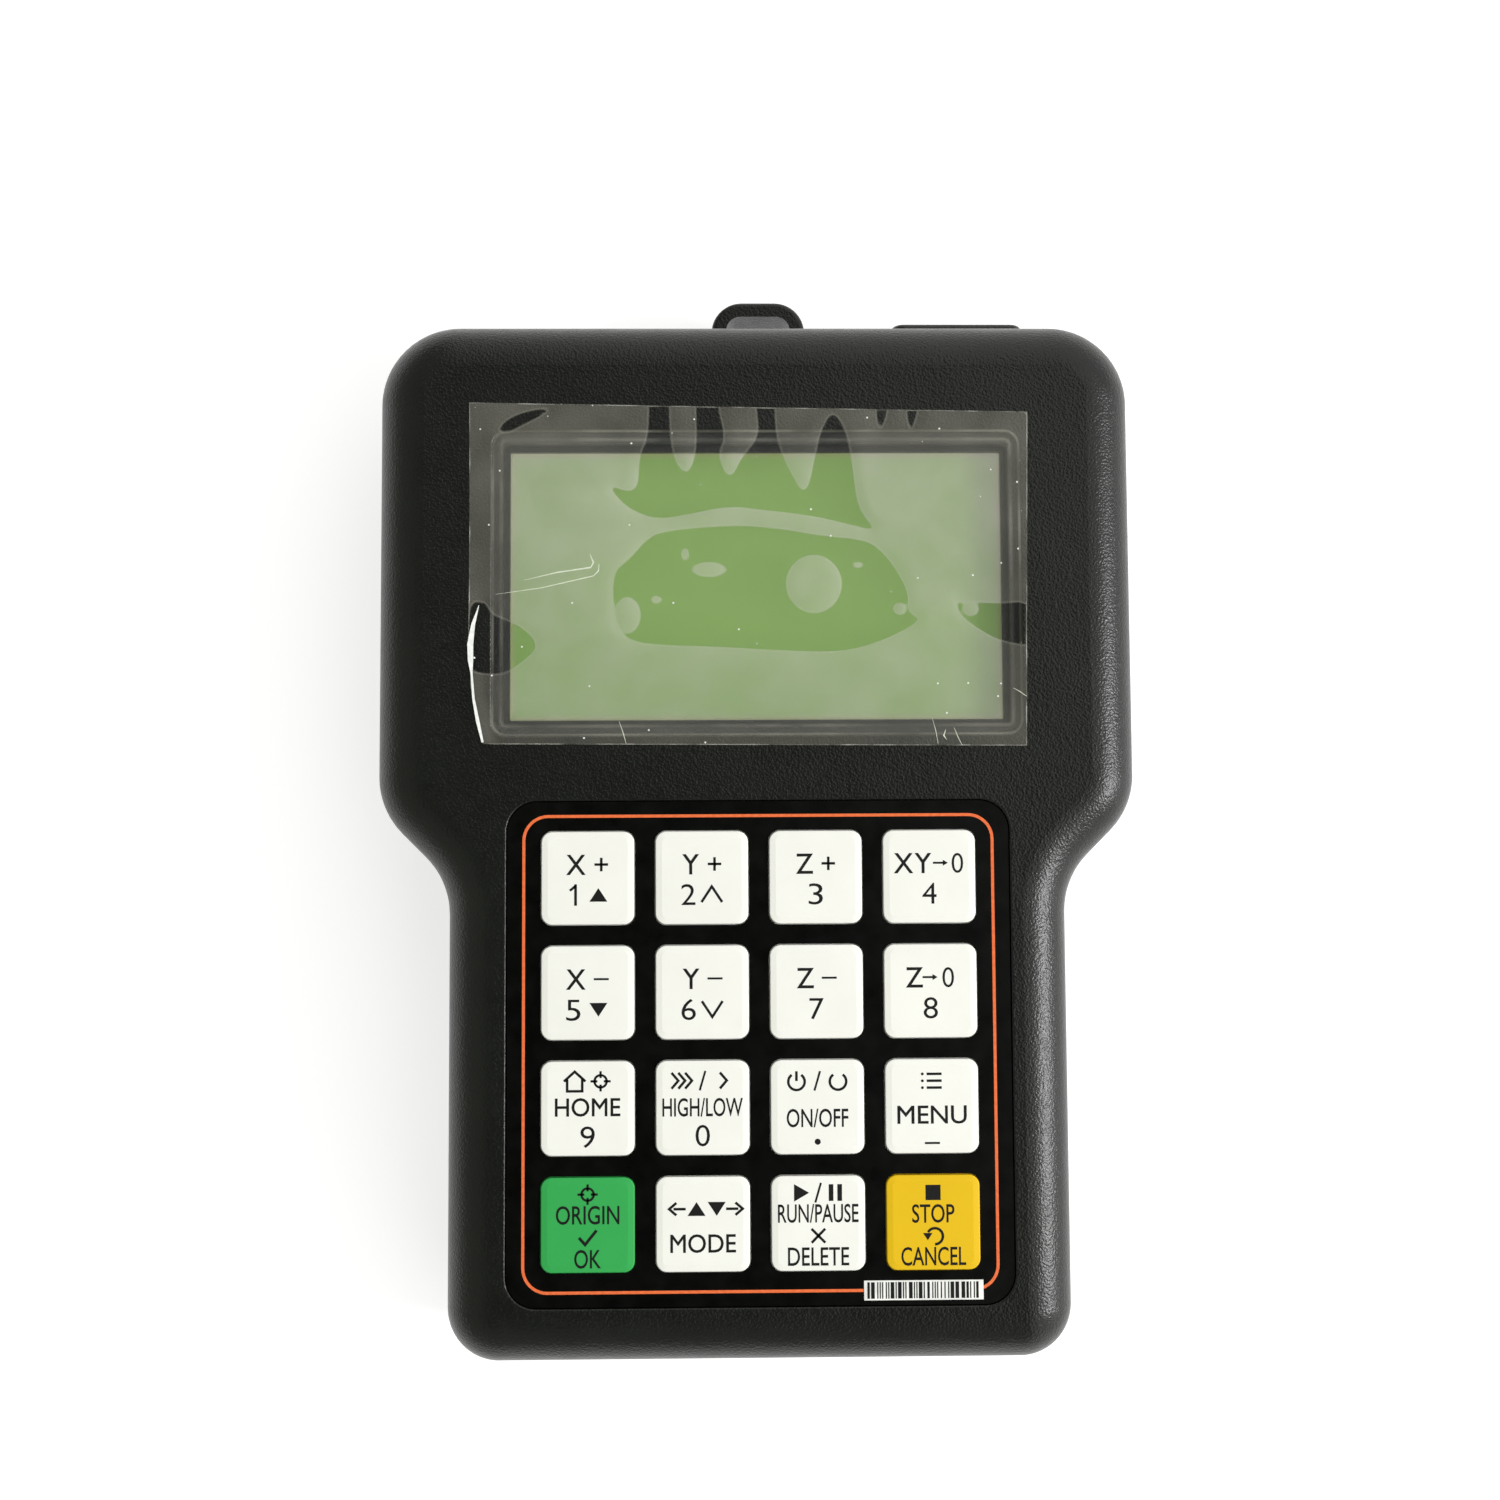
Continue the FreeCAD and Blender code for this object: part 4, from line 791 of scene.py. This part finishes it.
CLING_LEFT = [
    (-41, -2.7), (-38.3, -2.7), (-37.8, -4.4), (-35.5, -5.3), (-32.7, -6.7), (-30.8, -9.2), (-33.5, -11.6),
    (-35.8, -13.1), (-38.6, -13.1), (-41, -12.6),
]
CLING_RIGHT = [
    (28.4, -2.9), (30.1, -2.9), (33.8, -3.1), (39.5, -2.8), (39.5, -9.4), (36, -8.9), (33.2, -8),
    (29.8, -5.7), (28.6, -4.3),
]
CLING_CORNER = [
    (-37, 21.9), (-35.4, 23.7), (-32.5, 24.8), (-29.2, 25.2), (-30.5, 24.0), (-33.1, 22.7), (-35.6, 21.4),
]
CLING_DRIPS = [
    [(17.0, 26), (18.9, 26), (18.7, 23.6), (17.5, 21.4)],
    [(21.4, 26), (23.3, 26), (23.0, 23.6), (21.9, 21.2)],
]
AIR_BUBBLES = [  # centre x, y and half widths
    (-18.4, -4.7, 1.8, 2.5), (8.1, -0.3, 3.9, 4.1), (-6.8, 1.8, 2.3, 1.0), (-10.2, 4.0, 0.5, 0.8),
    (-14.3, -2.5, 0.7, 0.5), (14.4, 2.4, 0.7, 0.35), (20.3, -3.9, 0.9, 0.8), (30.4, -3.9, 1.1, 1.0),
]
CREASES = [  # places along it, and its width at each
    ([(-33, 0.3), (-28.4, 1.4), (-23.6, 2.1), (-23.2, 2.8), (-23.7, 4.0)],
     [0.04, 0.16, 0.2, 0.22, 0.06]),
    ([(-37, -1.7), (-30.6, -0.8), (-23.2, 0.9), (-22.5, 1.6), (-22.4, 2.6)],
     [0.03, 0.1, 0.13, 0.16, 0.05]),
    ([(-19.6, -19.8), (-19.0, -21.5), (-18.6, -23.0)], [0.03, 0.1, 0.05]),
    ([(24.7, -19.5), (25.2, -21.4), (25.5, -23.2)], [0.03, 0.08, 0.04]),
    ([(26.6, -21.2), (26.3, -22.0), (26.7, -22.6)], [0.05, 0.2, 0.04]),
    ([(27.8, -20.9), (28.3, -22.2), (28.9, -23.4)], [0.03, 0.1, 0.05]),
    ([(36.3, -15.3), (37.2, -15.8), (38.2, -16.5)], [0.03, 0.1, 0.06]),
]
HEM_GLINT = [  # a painted highlight where the curled left hem catches the light
    (-39.3, -3.4), (-40.1, -6.1), (-40.5, -8.9), (-40.45, -11.2), (-40.3, -13.0), (-40.0, -16.7),
    (-39.4, -19.8), (-38.7, -22.8),
]
HEM_GLINT_WIDTHS = [0.08, 0.55, 0.85, 0.75, 0.3, 0.35, 0.5, 0.3]


def rounded_off(points, times=2):
    """The closed outline with its corners cut, so that it flows."""
    near, far = 0.75, 0.25
    for _ in range(times):
        following = points[1:] + points[:1]
        pairs = [((near * a + far * c, near * b + far * d), (far * a + near * c, far * b + near * d))
                 for (a, b), (c, d) in zip(points, following)]
        points = [point for pair in pairs for point in pair]
    return points


def inside_distance(places, outline):
    """Signed distance of each place from a closed outline, positive inside."""
    start = np.array(outline)
    end = np.roll(start, -1, axis=0)
    along = end - start
    offset = places[:, None, :] - start
    share = np.clip((offset * along).sum(2) / (along ** 2).sum(1), 0, 1)
    gap = np.linalg.norm(offset - share[:, :, None] * along, axis=2).min(1)
    crosses = (start[:, 1] > places[:, None, 1]) != (end[:, 1] > places[:, None, 1])
    rise = np.where(along[:, 1] == 0, 1, along[:, 1])
    level_x = start[:, 0] + (places[:, None, 1] - start[:, 1]) * along[:, 0] / rise
    odd = (crosses & (places[:, None, 0] < level_x)).sum(1) % 2 == 1
    return np.where(odd, gap, -gap)


def box_distance(places, centre, half, radius=0.0):
    """Signed distance of each place from a rounded box, positive inside."""
    over = np.abs(places - np.array(centre)) - (np.array(half) - radius)
    return radius - np.hypot(*np.maximum(over, 0).T) - np.minimum(over.max(1), 0)


def cling_distance(places):
    """Distance inside the patches where the film clings, less the air bubbles in them."""
    patches = (CLING_CROWN, CLING_BLOB, CLING_LEFT, CLING_RIGHT, CLING_CORNER, *CLING_DRIPS)
    inside = np.max([inside_distance(places, rounded_off(patch)) for patch in patches], axis=0)
    for x, y, half_width, half_height in AIR_BUBBLES:
        ring = np.hypot((places[:, 0] - x) / half_width, (places[:, 1] - y) / half_height) - 1
        inside = np.minimum(inside, ring * min(half_width, half_height))
    return inside


def smooth_step(values, start, end):
    share = np.clip((values - start) / (end - start), 0, 1)
    return share * share * (3 - 2 * share)


def film_side(points, share):
    """Places down one side of the film, for shares of its height from the top."""
    points = np.array(points)
    drops = (points[0, 1] - points[:, 1]) / (points[0, 1] - points[-1, 1])
    return np.column_stack([np.interp(share, drops, points[:, i]) for i in (0, 1)])


def film_heights(places, u, v, inside, lens_half):
    """Down to the window where the film clings, up where air is under it, and curled at the left hem."""
    over_lens = (np.abs(places) - lens_half).max(1)
    on_lens = 1 - smooth_step(over_lens, *LENS_STEP)
    sunk = (FILM_GROUND - LENS_TOP) * on_lens * smooth_step(inside, *SINK_STEP)
    lift = FILM_LIFT * (1 - smooth_step(inside, *LIFT_STEP))
    curl = FILM_CURL * (1 - smooth_step(u, *CURL_ACROSS)) * smooth_step(v, *CURL_DOWN)
    return FILM_GROUND + FILM_GAP - sunk + lift + curl


def film_mesh():
    """The film as a fine grid, with the distances that its finish reads."""
    across, down = FILM_GRID
    u, v = (grid.ravel() for grid in np.meshgrid(np.linspace(0, 1, across), np.linspace(0, 1, down)))
    left, right = film_side(FILM_LEFT, v), film_side(FILM_RIGHT, v)
    places = left + u[:, None] * (right - left)
    inside = cling_distance(places)
    lens_low, lens_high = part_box("display_lens")
    lens_half = np.array([lens_high.x - lens_low.x, lens_high.y - lens_low.y]) / 2 / MM
    height = film_heights(places, u, v, inside, lens_half)
    points = np.column_stack([places[:, 0] + SEAT_X, places[:, 1] + SEAT_Y, height]) * MM
    faces = [(r * across + c, (r + 1) * across + c, (r + 1) * across + c + 1, r * across + c + 1)
             for r in range(down - 1) for c in range(across - 1)]
    mesh = bpy.data.meshes.new("film")
    mesh.from_pydata(points.tolist(), [], faces)
    width, length = FILM_FLAT
    distances = {
        "cling_mm": inside,
        "edge_mm": np.minimum(np.minimum(u, 1 - u) * width, np.minimum(v, 1 - v) * length),
        "view_mm": box_distance(places, VIEW_MIDDLE, VIEW_HALF),
        "rim_mm": box_distance(places, (0, 0), lens_half, RIM_RADIUS),
    }
    for name, values in distances.items():
        attribute = mesh.attributes.new(name, "FLOAT", "POINT")
        attribute.data.foreach_set("value", values.astype(np.float32))
    mesh.polygons.foreach_set("use_smooth", [True] * len(faces))
    mesh.materials.append(SLOT_FINISHES["film_clear"])
    return mesh


def screen_film():
    """The protective film over the display, half stuck down, with a lifted left hem, a painted highlight
    along it, and creases.
    """
    film = add_object("film", film_mesh())
    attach(film, "casing")
    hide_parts("screen_film")
    top = FILM_GROUND + FILM_GAP + FILM_LIFT + PRINT_LIFT
    marks = Print()
    for crease, widths in CREASES:
        marks.ribbon(crease, widths)
    creases = marks.piece("film_creases", (SEAT_X, SEAT_Y, top), CREASE_WHITE, "casing")
    # Painted highlight: a light strip where the curled left hem catches the light.
    hem = Print()
    hem.ribbon(HEM_GLINT, HEM_GLINT_WIDTHS)
    hem_glint_piece = hem.piece("film_hem_glint", (SEAT_X, SEAT_Y, top + FILM_CURL), HEM_GLINT_WHITE, "casing")


# Stage, light and camera

FLOOR_SIZE = 6.0
FLOOR_DROP = 0.05 * MM
FLOOR_GLOW = 0.7
SKY_AXIS = (0.95, 0.3, 0)  # from the dim left to the bright right
SKY_LEVELS = (  # place along that axis, level
    (-1.0, 0.55), (-0.5, 0.5), (-0.14, 0.36), (0.03, 0.25),
    (0.17, 1.25), (0.35, 1.6), (0.6, 1.25), (1.0, 1.0),
)
SKY_SHADE = (-0.04, -0.07, 1)  # the way up to the dark camera and who holds it
SKY_SHADE_SLIM = (1, 0.7, 1)  # the shade reaches further along Y
SKY_SHADE_REACH = (0.18, 0.42, 0.0, 1.0)  # from inside to outside it, and the share of light left
SKY_TINTS = ((0.95, 1.0, 0.84), (0.99, 0.99, 1.0))  # far left and far right
CAMERA_PLACE = (-6.5 * MM, -9.04 * MM, 313.68 * MM)
CAMERA_TILT = (radians(4.2), radians(-1.09), radians(-0.24))
CAMERA_LENS = 48.0
CAMERA_SENSOR = 36.0
WINDOW_PLACE = (0.91, -0.11, 0.53)  # to the right of the part
WINDOW_SIZE = 0.36
WINDOW_POWER = 9.6


def floor():
    """A wide pale floor, white to the camera except where the part shades it."""
    mesh = bpy.data.meshes.new("floor")
    half = FLOOR_SIZE / 2
    corners = [(-half, -half, 0), (half, -half, 0), (half, half, 0), (-half, half, 0)]
    mesh.from_pydata(corners, [], [(0, 1, 2, 3)])
    finish = Finish("floor_white", (0.55, 0.55, 0.55), 0.7, Specular_IOR_Level=0.1)
    finish.tint(finish.noise(300), (0.54, 0.54, 0.54), (0.57, 0.57, 0.57))
    path = finish.add("ShaderNodeLightPath").outputs
    mirrored = finish.maths("MAXIMUM", path["Is Glossy Ray"], path["Is Transmission Ray"])
    seen = finish.maths("MAXIMUM", path["Is Camera Ray"], mirrored)
    finish.link(finish.maths("MULTIPLY", seen, FLOOR_GLOW), "Emission Strength")
    finish.shader.inputs["Emission Color"].default_value = (1, 1, 1, 1)
    mesh.materials.append(finish.material)
    made = add_object("floor", mesh)
    made.location.z = -FLOOR_DROP


def sky():
    """A studio round the part: bright on the right, dim on the left and darkest overhead."""
    world = bpy.data.worlds.new("studio")
    world.use_nodes = True
    tree = world.node_tree
    way = add_node(tree, "ShaderNodeTexCoord").outputs["Generated"]
    along = add_node(tree, "ShaderNodeVectorMath", {0: way, 1: SKY_AXIS}, operation="DOT_PRODUCT")
    share = add_node(tree, "ShaderNodeMapRange", {"Value": along.outputs["Value"], "From Min": -1})
    ramp = add_node(tree, "ShaderNodeValToRGB", {"Fac": share.outputs["Result"]})
    stops = ramp.color_ramp.elements
    for _ in range(len(SKY_LEVELS) - len(stops)):
        stops.new(0.5)
    for stop, (position, level) in zip(stops, SKY_LEVELS):
        stop.position = (position + 1) / 2
        tint = [left + (right - left) * stop.position for left, right in zip(*SKY_TINTS)]
        stop.color = (*scaled(tint, level), 1)
    slim = add_node(tree, "ShaderNodeVectorMath", {0: way, 1: SKY_SHADE_SLIM}, operation="MULTIPLY")
    ends = {0: slim.outputs["Vector"], 1: SKY_SHADE}
    apart = add_node(tree, "ShaderNodeVectorMath", ends, operation="DISTANCE")
    reach = dict(zip(("From Min", "From Max", "To Min", "To Max"), SKY_SHADE_REACH))
    shade = add_node(tree, "ShaderNodeMapRange", {"Value": apart.outputs["Value"], **reach})
    background = tree.nodes["Background"]
    tree.links.new(ramp.outputs["Color"], background.inputs["Color"])
    tree.links.new(shade.outputs["Result"], background.inputs["Strength"])
    bpy.context.scene.world = world


def window_lamp():
    """A soft round lamp, turned to the part."""
    data = bpy.data.lights.new("window_right", "AREA")
    data.shape, data.size, data.energy = "DISK", WINDOW_SIZE, WINDOW_POWER
    lamp = add_object("window_right", data)
    lamp.location = WINDOW_PLACE
    lamp.rotation_euler = (-Vector(WINDOW_PLACE)).to_track_quat("-Z", "Y").to_euler()


def camera():
    data = bpy.data.cameras.new("camera")
    data.lens, data.sensor_width = CAMERA_LENS, CAMERA_SENSOR
    data.clip_start = 0.01
    made = add_object("camera", data)
    made.location = CAMERA_PLACE
    made.rotation_mode = "ZYX"
    made.rotation_euler = CAMERA_TILT
    bpy.context.scene.camera = made


dress_nodes()
snap_domes()
print_keys()
print_overlay()
print_sticker()
screen_film()
floor()
sky()
window_lamp()
camera()
bpy.context.scene.view_settings.view_transform = "Standard"
